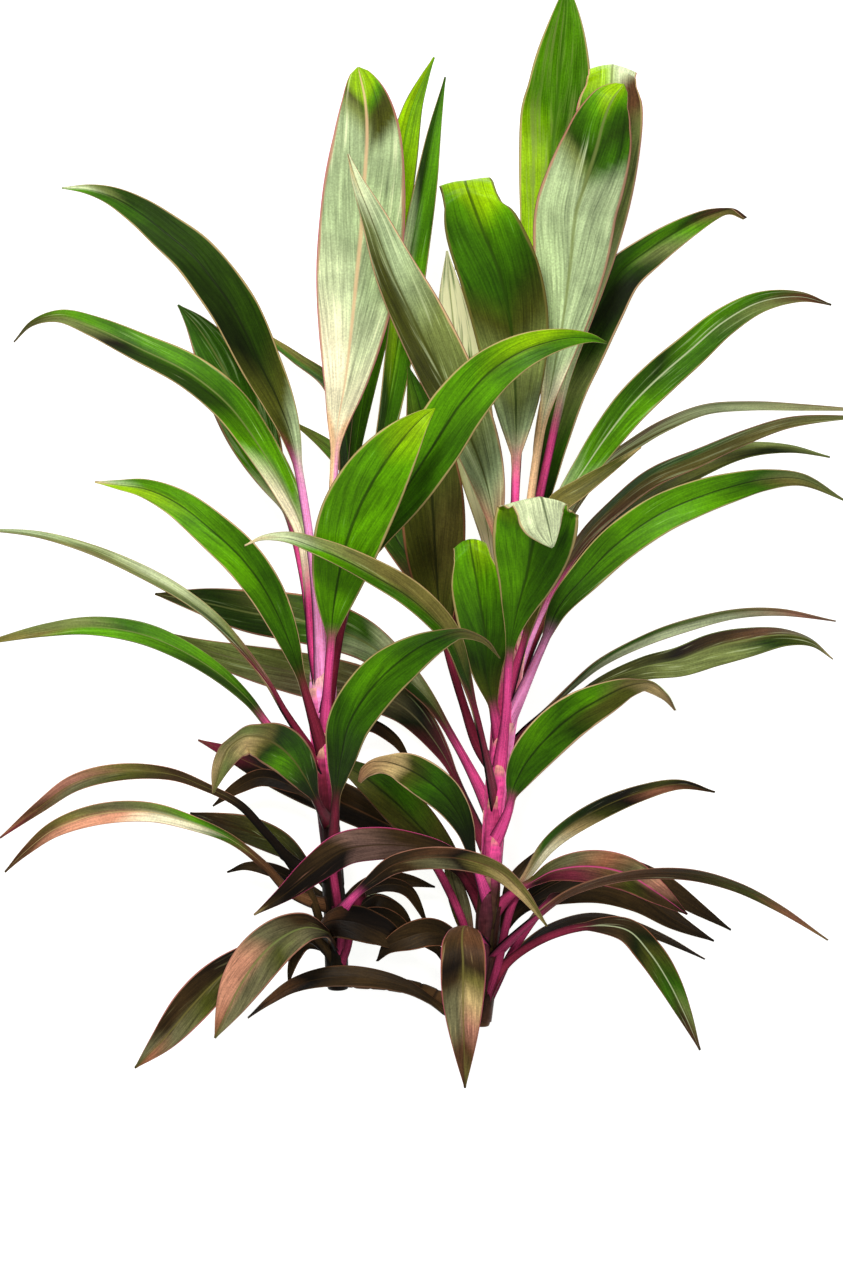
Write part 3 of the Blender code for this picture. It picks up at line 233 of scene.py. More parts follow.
RIGHT_LEAVES = [
    Leaf("leaf_right_top_spear", 72, (
        (511, 612, 107), (514, 520, 72), (520, 420, 36), (528, 330, 14), (536, 260, 12),
        (545, 200, 12), (552, 150, 14), (557, 100, 26), (561, 60, 38), (565, 20, 48),
        (567, -18, 54)), face=6, fold=20, neck=0.38, peak=0.67),
    Leaf("leaf_right_top_broad", 84, (
        (510, 646, 114), (524, 555, 128), (532, 490, 132), (541, 430, 136), (552, 380, 140),
        (563, 320, 146), (570, 267, 152), (576, 213, 162), (584, 187, 170), (596, 150, 182),
        (604, 120, 190), (612, 100, 193), (624, 84, 188)), face=180, neck=0.36, peak=0.62),
    Leaf("leaf_right_top_curled", 72, (
        (512, 616, 104), (529, 550, 101), (541, 490, 106), (554, 430, 110), (567, 370, 112),
        (581, 300, 116), (593, 230, 122), (602, 170, 130), (609, 120, 138), (611, 90, 140),
        (612, 70, 134), (613, 66, 116), (614, 82, 98), (615, 112, 92)), face=180, neck=0.34,
        peak=0.6),
    Leaf("leaf_right_dark_arm", 54, (
        (511, 645, 104), (528, 560, 98), (541, 500, 96), (549, 442, 96), (562, 388, 98),
        (580, 345, 100), (597, 310, 104), (620, 272, 110), (650, 248, 114), (685, 226, 112),
        (715, 212, 104), (735, 208, 96), (748, 216, 88)), face=20, fold=25),
    Leaf("leaf_right_shield", 82, (
        (509, 682, 114), (513, 590, 140), (515, 500, 150), (516, 445, 156), (515, 380, 164),
        (510, 320, 172), (499, 272, 182), (486, 238, 192), (473, 205, 202), (467, 187, 204),
        (465, 181, 190), (464, 192, 168), (460, 230, 150), (456, 270, 142)), neck=0.36),
    Leaf("leaf_right_striped", 54, (
        (508, 665, 106), (497, 590, 90), (482, 500, 84), (467, 420, 84), (459, 370, 86),
        (453, 320, 90), (449, 280, 96), (447, 250, 100)), face=15, peak=0.55),
    Leaf("leaf_right_silver", 66, (
        (509, 655, 112), (503, 590, 128), (494, 515, 140), (483, 470, 146), (462, 418, 152),
        (439, 372, 160), (413, 318, 168), (392, 273, 176), (372, 220, 182), (356, 180, 184),
        (348, 154, 182)), face=155, fold=26),
    Leaf("leaf_right_hanging_middle", 66, (
        (499, 775, 104), (478, 745, 98), (462, 700, 94), (449, 655, 92), (440, 612, 94),
        (435, 550, 98), (431, 480, 104), (423, 420, 108), (408, 366, 108)), neck=0.34),
    Leaf("leaf_right_high_arm", 38, (
        (509, 665, 106), (527, 590, 102), (552, 520, 104), (590, 460, 106), (608, 434, 112),
        (630, 406, 118), (660, 376, 126), (690, 350, 130), (723, 322, 131), (760, 302, 126),
        (800, 297, 116), (831, 305, 104)), face=12, peak=0.5),
    Leaf("leaf_right_thin_high", 24, (
        (508, 690, 104), (532, 600, 92), (560, 530, 88), (600, 468, 90), (640, 437, 96),
        (668, 421, 100), (705, 407, 106), (750, 404, 104), (800, 406, 98), (850, 409, 90),
        (875, 412, 85)), face=60),
    Leaf("leaf_right_olive_short", 30, (
        (508, 700, 125), (530, 620, 150), (545, 540, 165), (556, 503, 170), (580, 486, 172),
        (610, 467, 170), (641, 447, 164)), face=140),
    Leaf("leaf_right_thin_pink_stalk", 30, (
        (505, 712, 110), (530, 640, 104), (560, 575, 104), (585, 535, 106), (612, 507, 110),
        (650, 476, 114), (700, 454, 114), (745, 435, 110), (790, 421, 104), (845, 417, 96),
        (868, 418, 92)), face=52),
    Leaf("leaf_right_shadow_arm", 30, (
        (504, 724, 100), (535, 640, 90), (575, 560, 86), (610, 522, 84), (650, 492, 84),
        (700, 464, 84), (745, 449, 82), (790, 448, 76), (830, 457, 68)), face=150, tone=Tone.DARK),
    Leaf("leaf_right_broad_arm", 40, (
        (504, 735, 116), (522, 692, 124), (545, 640, 130), (559, 607, 134), (587, 574, 138),
        (618, 543, 144), (658, 515, 148), (696, 498, 148), (730, 487, 142), (765, 479, 132),
        (802, 479, 118), (846, 501, 98)), face=5, peak=0.4, tip_turn=50),
    Leaf("leaf_right_folded_front", 84, (
        (499, 776, 112), (506, 712, 148), (510, 650, 182), (517, 612, 204), (526, 578, 226),
        (532, 548, 246), (537, 520, 262), (539, 503, 274), (540, 497, 288), (542, 500, 302),
        (546, 515, 307), (553, 547, 298)), neck=0.34, peak=0.62),
    Leaf("leaf_right_small_lime", 54, (
        (502, 746, 114), (493, 705, 140), (487, 672, 158), (486, 640, 176), (481, 608, 192),
        (476, 578, 204), (472, 556, 212), (470, 543, 212), (469, 540, 200), (469, 556, 184),
        (468, 600, 172)), neck=0.15, peak=0.48),
    Leaf("leaf_right_crossing", 34, (
        (496, 808, 112), (487, 762, 142), (476, 715, 160), (463, 672, 180), (449, 638, 196),
        (430, 616, 206), (405, 595, 212), (375, 577, 216), (345, 561, 218), (315, 548, 218),
        (288, 539, 214), (262, 539, 208), (245, 546, 202)), face=35, fold=24, neck=0.27),
    Leaf("leaf_right_tan_tip", 44, (
        (500, 845, 108), (508, 812, 140), (515, 785, 165), (527, 762, 185), (547, 738, 205),
        (572, 716, 222), (602, 698, 236), (630, 685, 246), (652, 683, 246), (667, 694, 238),
        (676, 710, 226)), peak=0.4, tip_turn=55),
    Leaf("leaf_right_thin_middle", 24, (
        (502, 765, 96), (520, 735, 88), (545, 712, 86), (570, 688, 86), (600, 662, 86),
        (645, 638, 86), (690, 622, 84), (735, 612, 80), (780, 611, 74), (836, 621, 64)), face=60),
    Leaf("leaf_right_twisted_middle", 38, (
        (499, 782, 92), (525, 745, 80), (560, 712, 74), (600, 684, 72), (645, 667, 74),
        (680, 660, 74), (713, 648, 74), (747, 640, 72), (785, 635, 68), (812, 641, 62),
        (833, 659, 54)), face=155, peak=0.6, tip_turn=-30, tone=Tone.DARK),
    Leaf("leaf_right_low_green", 24, (
        (487, 938, 78), (507, 905, 84), (529, 872, 90), (547, 846, 96), (567, 828, 100),
        (600, 808, 102), (640, 792, 100), (680, 784, 94), (715, 792, 84)), face=30, tone=Tone.DARK),
    Leaf("leaf_right_bronze_arch", 36, (
        (489, 918, 86), (510, 895, 88), (535, 880, 92), (555, 870, 100), (590, 866, 108),
        (625, 873, 110), (655, 891, 104), (687, 914, 92)), peak=0.5, tone=Tone.BRONZE),
    Leaf("leaf_right_low_dark", 34, (
        (486, 950, 76), (520, 912, 60), (560, 893, 50), (600, 887, 46), (640, 897, 42),
        (675, 920, 36), (714, 941, 28)), face=160, tone=Tone.DARK),
    Leaf("leaf_right_low_resting", 30, (
        (484, 966, 66), (520, 905, 46), (570, 875, 30), (620, 872, 18), (660, 885, 14),
        (700, 910, 14), (731, 930, 20)), tone=Tone.DARK),
    Leaf("leaf_right_long_whip", 18, (
        (484, 968, 86), (505, 945, 96), (535, 918, 108), (565, 895, 120), (600, 881, 130),
        (640, 873, 134), (690, 873, 130), (735, 885, 120), (780, 908, 104), (828, 940, 84)),
        face=50, tone=Tone.BRONZE),
    Leaf("leaf_right_low_whip", 18, (
        (482, 988, 76), (510, 958, 68), (545, 930, 66), (585, 917, 64), (625, 922, 60),
        (665, 938, 52), (705, 959, 42)), face=50, tone=Tone.DARK),
    Leaf("leaf_right_drooping", 28, (
        (481, 1003, 80), (505, 965, 92), (545, 938, 104), (590, 926, 114), (627, 930, 116),
        (649, 952, 112), (668, 981, 104), (684, 1013, 94), (700, 1050, 80)), neck=0.42, peak=0.4,
        tone=Tone.BRONZE),
    Leaf("leaf_right_hanging_front", 46, (
        (487, 948, 88), (474, 930, 114), (464, 928, 134), (462, 942, 152), (463, 960, 160),
        (463, 1000, 160), (464, 1045, 152), (465, 1088, 138)), neck=0.16, peak=0.36,
        tone=Tone.BRONZE),
    Leaf("leaf_right_lowest_left", 24, (
        (479, 1014, 76), (463, 1021, 88), (445, 1014, 92), (430, 1001, 96), (408, 988, 98),
        (370, 979, 98), (330, 978, 96), (295, 986, 88), (270, 1001, 80), (248, 1018, 70)), face=35,
        tone=Tone.DARK),
    Leaf("leaf_right_tan_flap", 38, (
        (489, 905, 94), (480, 878, 116), (472, 855, 132), (464, 826, 148), (448, 799, 164),
        (428, 781, 180), (408, 769, 192), (388, 762, 200), (372, 762, 202), (362, 769, 196),
        (358, 781, 186)), peak=0.55, tip_turn=20),
    Leaf("leaf_right_dark_sweep", 42, (
        (488, 922, 86), (471, 890, 84), (452, 862, 86), (430, 838, 90), (405, 812, 94),
        (378, 788, 96), (352, 770, 94), (325, 758, 90)), face=10, tone=Tone.DARK),
    Leaf("leaf_right_long_left", 54, (
        (495, 822, 92), (478, 785, 80), (455, 742, 66), (430, 702, 56), (400, 670, 48),
        (360, 640, 42), (310, 623, 40), (250, 613, 38), (200, 602, 34), (155, 594, 28)), face=20,
        peak=0.58),
    Leaf("leaf_right_resting_left", 46, (
        (492, 862, 84), (465, 800, 66), (441, 750, 50), (405, 708, 38), (360, 688, 30),
        (300, 674, 20), (240, 660, 14), (190, 645, 14), (152, 629, 22)), face=170, tone=Tone.DARK),
    Leaf("leaf_right_brown_left", 40, (
        (489, 900, 78), (468, 872, 66), (445, 850, 54), (400, 830, 42), (350, 806, 34),
        (300, 784, 28), (255, 765, 26), (225, 751, 24), (198, 740, 22)), face=170,
        tone=Tone.BRONZE),
    Leaf("leaf_right_bronze_over", 36, (
        (490, 888, 94), (472, 862, 122), (445, 850, 146), (410, 846, 164), (375, 845, 174),
        (345, 850, 174), (315, 870, 168), (285, 894, 156), (254, 915, 140)), face=165,
        tone=Tone.BRONZE),
    Leaf("leaf_right_low_short", 30, (
        (484, 962, 84), (455, 940, 98), (430, 932, 106), (405, 938, 108), (385, 948, 104),
        (376, 961, 96)), tone=Tone.DARK),
    Leaf("leaf_right_behind_middle", 34, (
        (504, 706, 98), (470, 645, 74), (430, 590, 60), (400, 545, 52), (360, 480, 44),
        (325, 445, 40), (290, 420, 36)), face=20, tone=Tone.DARK),
]
LEFT_LEAVES = [
    Leaf("leaf_left_glossy_arm", 50, (
        (322, 690, 106), (318, 620, 122), (311, 550, 132), (302, 490, 140), (291, 436, 144),
        (277, 399, 150), (258, 360, 154), (245, 332, 158), (233, 309, 160), (215, 283, 160),
        (192, 255, 158), (167, 234, 154), (140, 213, 148), (112, 197, 138), (88, 190, 130),
        (62, 188, 120)), face=8, fold=20, neck=0.36),
    Leaf("leaf_left_second_arm", 40, (
        (321, 700, 100), (312, 640, 106), (307, 580, 108), (302, 530, 108), (285, 490, 108),
        (258, 445, 110), (228, 405, 112), (190, 374, 112), (140, 349, 108), (95, 328, 100),
        (60, 317, 90), (32, 324, 80), (14, 342, 72)), face=22),
    Leaf("leaf_left_back_broad", 60, (
        (321, 712, 94), (312, 640, 90), (303, 575, 86), (290, 520, 82), (272, 480, 78),
        (255, 440, 74), (237, 397, 72), (217, 357, 70), (196, 325, 66), (178, 305, 62)), face=5,
        neck=0.46, peak=0.5),
    Leaf("leaf_left_behind_strip", 30, (
        (322, 662, 84), (335, 560, 62), (347, 450, 50), (330, 388, 44), (296, 360, 38),
        (266, 338, 34), (240, 318, 30)), face=45, tone=Tone.DARK),
    Leaf("leaf_left_tall_pale", 88, (
        (323, 672, 106), (327, 600, 118), (332, 510, 126), (337, 430, 130), (345, 383, 132),
        (351, 333, 135), (356, 283, 139), (361, 233, 144), (364, 187, 150), (367, 133, 155),
        (365, 100, 156), (358, 67, 146)), face=180, neck=0.36, peak=0.56, blunt=0.8),
    Leaf("leaf_left_lime_spear", 42, (
        (323, 665, 98), (335, 580, 90), (350, 480, 84), (370, 350, 82), (388, 225, 84),
        (400, 160, 86), (412, 107, 84), (423, 80, 81), (434, 57, 78)), face=25, peak=0.62),
    Leaf("leaf_left_lime_narrow", 38, (
        (324, 682, 100), (345, 610, 102), (365, 520, 98), (384, 430, 96), (396, 350, 98),
        (409, 262, 100), (423, 186, 102), (433, 130, 100), (445, 77, 94)), face=32, fold=24,
        peak=0.55),
    Leaf("leaf_left_front_lime", 72, (
        (323, 745, 106), (327, 690, 142), (331, 640, 168), (334, 605, 186), (342, 560, 206),
        (356, 515, 224), (378, 473, 240), (404, 437, 250), (424, 416, 252), (435, 408, 248)),
        neck=0.32, peak=0.52, blunt=0.8),
    Leaf("leaf_left_front_long", 56, (
        (323, 730, 106), (335, 660, 130), (350, 590, 150), (375, 535, 170), (405, 490, 188),
        (432, 448, 202), (460, 405, 212), (490, 372, 220), (525, 350, 224), (562, 339, 220),
        (590, 338, 212), (607, 343, 204)), neck=0.3),
    Leaf("leaf_left_inner_curl", 48, (
        (331, 862, 88), (336, 800, 140), (342, 755, 178), (350, 722, 204), (372, 688, 226),
        (402, 659, 246), (432, 640, 258), (462, 631, 262), (485, 639, 254), (500, 658, 240)),
        tip_turn=70),
    Leaf("leaf_left_lime_arm", 40, (
        (324, 758, 104), (312, 715, 124), (298, 668, 138), (286, 634, 146), (266, 592, 154),
        (242, 559, 160), (210, 529, 160), (178, 504, 154), (145, 489, 144), (118, 485, 134),
        (95, 482, 124)), face=5, fold=16),
    Leaf("leaf_left_thin_arm", 22, (
        (325, 772, 98), (305, 742, 106), (285, 712, 110), (268, 683, 110), (245, 653, 108),
        (215, 621, 106), (180, 595, 102), (140, 573, 98), (90, 551, 92), (40, 536, 84),
        (-5, 531, 76), (-30, 531, 70)), face=55),
    Leaf("leaf_left_green_arm", 24, (
        (326, 788, 92), (300, 756, 92), (272, 730, 92), (248, 700, 92), (216, 672, 92),
        (178, 649, 92), (140, 634, 90), (90, 627, 84), (45, 631, 76), (0, 640, 66), (-25, 646, 60)),
        face=25),
    Leaf("leaf_left_folded", 46, (
        (328, 826, 98), (320, 808, 134), (312, 791, 162), (303, 774, 188), (291, 757, 210),
        (276, 744, 230), (259, 736, 248), (243, 737, 258), (229, 747, 258), (220, 766, 248),
        (213, 793, 232)), peak=0.5),
    Leaf("leaf_left_red_tip", 18, (
        (331, 878, 92), (312, 872, 96), (293, 862, 98), (268, 835, 98), (240, 805, 100),
        (208, 788, 102), (170, 774, 100), (120, 772, 96), (75, 783, 88), (40, 807, 78),
        (0, 838, 66)), neck=0.34, peak=0.55, tone=Tone.BRONZE),
    Leaf("leaf_left_brown_tip", 22, (
        (333, 908, 84), (308, 900, 86), (288, 890, 86), (265, 866, 86), (232, 840, 86),
        (195, 824, 84), (150, 812, 82), (100, 814, 76), (55, 829, 68), (25, 852, 60), (5, 872, 54)),
        neck=0.25, peak=0.55, tone=Tone.BRONZE),
    Leaf("leaf_left_dark_low", 32, (
        (332, 893, 70), (310, 868, 60), (285, 848, 52), (255, 834, 46), (225, 824, 42),
        (190, 813, 38)), face=160, tone=Tone.DARK),
    Leaf("leaf_left_olive_right", 24, (
        (335, 918, 88), (352, 898, 130), (372, 880, 156), (395, 864, 174), (430, 857, 190),
        (465, 859, 198), (497, 870, 198), (522, 892, 190), (547, 926, 172)), face=20),
    Leaf("leaf_left_salmon_edge", 48, (
        (336, 948, 82), (325, 932, 116), (304, 928, 140), (281, 938, 152), (260, 957, 154),
        (243, 981, 148), (229, 1008, 138), (215, 1038, 126)), neck=0.16, peak=0.5,
        tone=Tone.BRONZE),
    Leaf("leaf_left_lowest", 40, (
        (337, 958, 72), (312, 938, 78), (280, 938, 82), (249, 955, 80), (219, 978, 76),
        (192, 1006, 70), (163, 1040, 60), (135, 1068, 50)), face=10, peak=0.52, tone=Tone.BRONZE),
]
# Small dark leaves and stalks low on the canes, which the part leaves to this script
SHADED_RIGHT = [
    Leaf("stalk_right_outer", 10, (
        (481, 1015, 72), (494, 990, 80), (507, 962, 84), (522, 936, 86), (541, 910, 88),
        (560, 893, 88)), neck=0.9, tone=Tone.DARK),
    Leaf("stalk_right_steep", 10, (
        (480, 1012, 78), (490, 988, 88), (499, 960, 92), (505, 930, 92), (512, 905, 90),
        (524, 880, 88)), neck=0.9, tone=Tone.DARK),
    Leaf("stalk_right_inner", 10, (
        (480, 1005, 80), (474, 975, 90), (469, 945, 92), (462, 920, 92), (450, 893, 88),
        (438, 870, 84), (424, 848, 80)), neck=0.9, tone=Tone.DARK),
    Leaf("stalk_right_low", 14, (
        (479, 1012, 72), (466, 992, 76), (452, 970, 74), (438, 950, 70), (420, 936, 66),
        (400, 928, 62)), neck=0.6, tone=Tone.DARK),
    Leaf("leaf_shaded_grey", 20, (
        (482, 990, 72), (472, 950, 72), (462, 912, 70), (452, 876, 66), (446, 846, 62)), neck=0.3,
        tone=Tone.DARK),
    Leaf("leaf_shaded_upright", 14, (
        (484, 975, 82), (494, 945, 84), (503, 915, 84), (512, 885, 82), (538, 850, 78)), neck=0.5,
        tone=Tone.DARK),
]
SHADED_LEFT = [
    Leaf("stalk_left_outer", 10, (
        (338, 975, 68), (328, 950, 78), (320, 922, 84), (311, 895, 86), (296, 872, 84),
        (280, 848, 80)), neck=0.9, tone=Tone.DARK),
    Leaf("stalk_left_steep", 10, (
        (338, 972, 70), (347, 948, 82), (352, 920, 88), (357, 903, 92), (363, 890, 96)), neck=0.9,
        tone=Tone.DARK),
    Leaf("stalk_left_front", 10, (
        (337, 968, 76), (341, 930, 90), (337, 900, 94), (333, 872, 96), (332, 840, 96)), neck=0.9,
        tone=Tone.DARK),
    Leaf("stalk_left_low", 10, (
        (338, 972, 72), (326, 950, 80), (314, 936, 84), (303, 929, 86)), neck=0.9, tone=Tone.DARK),
    Leaf("leaf_shaded_drop", 8, (
        (337, 955, 66), (318, 945, 60), (300, 942, 56), (291, 955, 52), (288, 982, 46)), neck=0.5,
        tone=Tone.DARK),
    Leaf("leaf_shaded_front", 36, (
        (337, 950, 80), (320, 931, 96), (330, 921, 106), (350, 921, 110), (378, 930, 108),
        (402, 941, 100), (420, 936, 94)), neck=0.12, tone=Tone.DARK),
    Leaf("leaf_shaded_bridge", 15, (
        (337, 935, 66), (358, 908, 60), (378, 895, 54), (398, 905, 50), (414, 930, 46)),
        tone=Tone.DARK),
    Leaf("leaf_shaded_bow", 14, (
        (336, 925, 62), (360, 895, 56), (388, 884, 50), (410, 890, 46), (428, 925, 42)),
        tone=Tone.DARK),
    Leaf("leaf_shaded_middle", 27, (
        (336, 930, 66), (350, 918, 62), (372, 916, 60), (396, 926, 56), (416, 941, 50)),
        tone=Tone.BRONZE),
    Leaf("leaf_shaded_right", 17, (
        (334, 912, 60), (356, 890, 50), (382, 880, 44), (410, 881, 40), (435, 887, 36)),
        tone=Tone.DARK),
    Leaf("leaf_shaded_left", 14, (
        (332, 905, 60), (302, 884, 48), (272, 870, 42), (246, 866, 38), (227, 872, 34)),
        tone=Tone.DARK),
    Leaf("leaf_shaded_tip", 18, (
        (327, 808, 70), (292, 786, 58), (262, 777, 52), (238, 787, 46), (213, 806, 40)),
        tone=Tone.DARK),
    Leaf("leaf_shaded_arc", 14, (
        (324, 752, 62), (348, 730, 48), (372, 723, 42), (394, 738, 38), (412, 766, 34)),
        tone=Tone.DARK),
]
# Exponent of the outline beyond the widest place, where it is not the leaf's own
ROUND_TIPS = {"leaf_left_tall_pale": 0.5, "leaf_right_top_broad": 0.5,
              "leaf_right_top_curled": 0.5, "leaf_right_folded_front": 0.76}
# How far the right edge drops and the left one rises at the sharpest bend
SLANTS = {"leaf_right_shield": 0.0075, "leaf_right_folded_front": -0.006}

# Painted shade: the small shaded leaves are painted bronze and black for the shade low between the
# canes.
SHADED_PAINT = Paint(BRONZE, ((0.2, BRONZE), (0.4, BLACK), (0.8, BRONZE), (1.0, BLACK)),
                     rib=BRONZE, edge=SALMON, streak=0.0)
STALK_PAINT = Paint(WINE, ((0.0, WINE), (0.5, MAROON), (1.0, BLACK)),
                    rib=MAROON, edge=MAROON, line=BLACK, streak=0.0)
ROSY_STALKS = ("stalk_right_outer", "stalk_right_steep", "stalk_right_inner",
               "stalk_left_steep", "stalk_left_front")
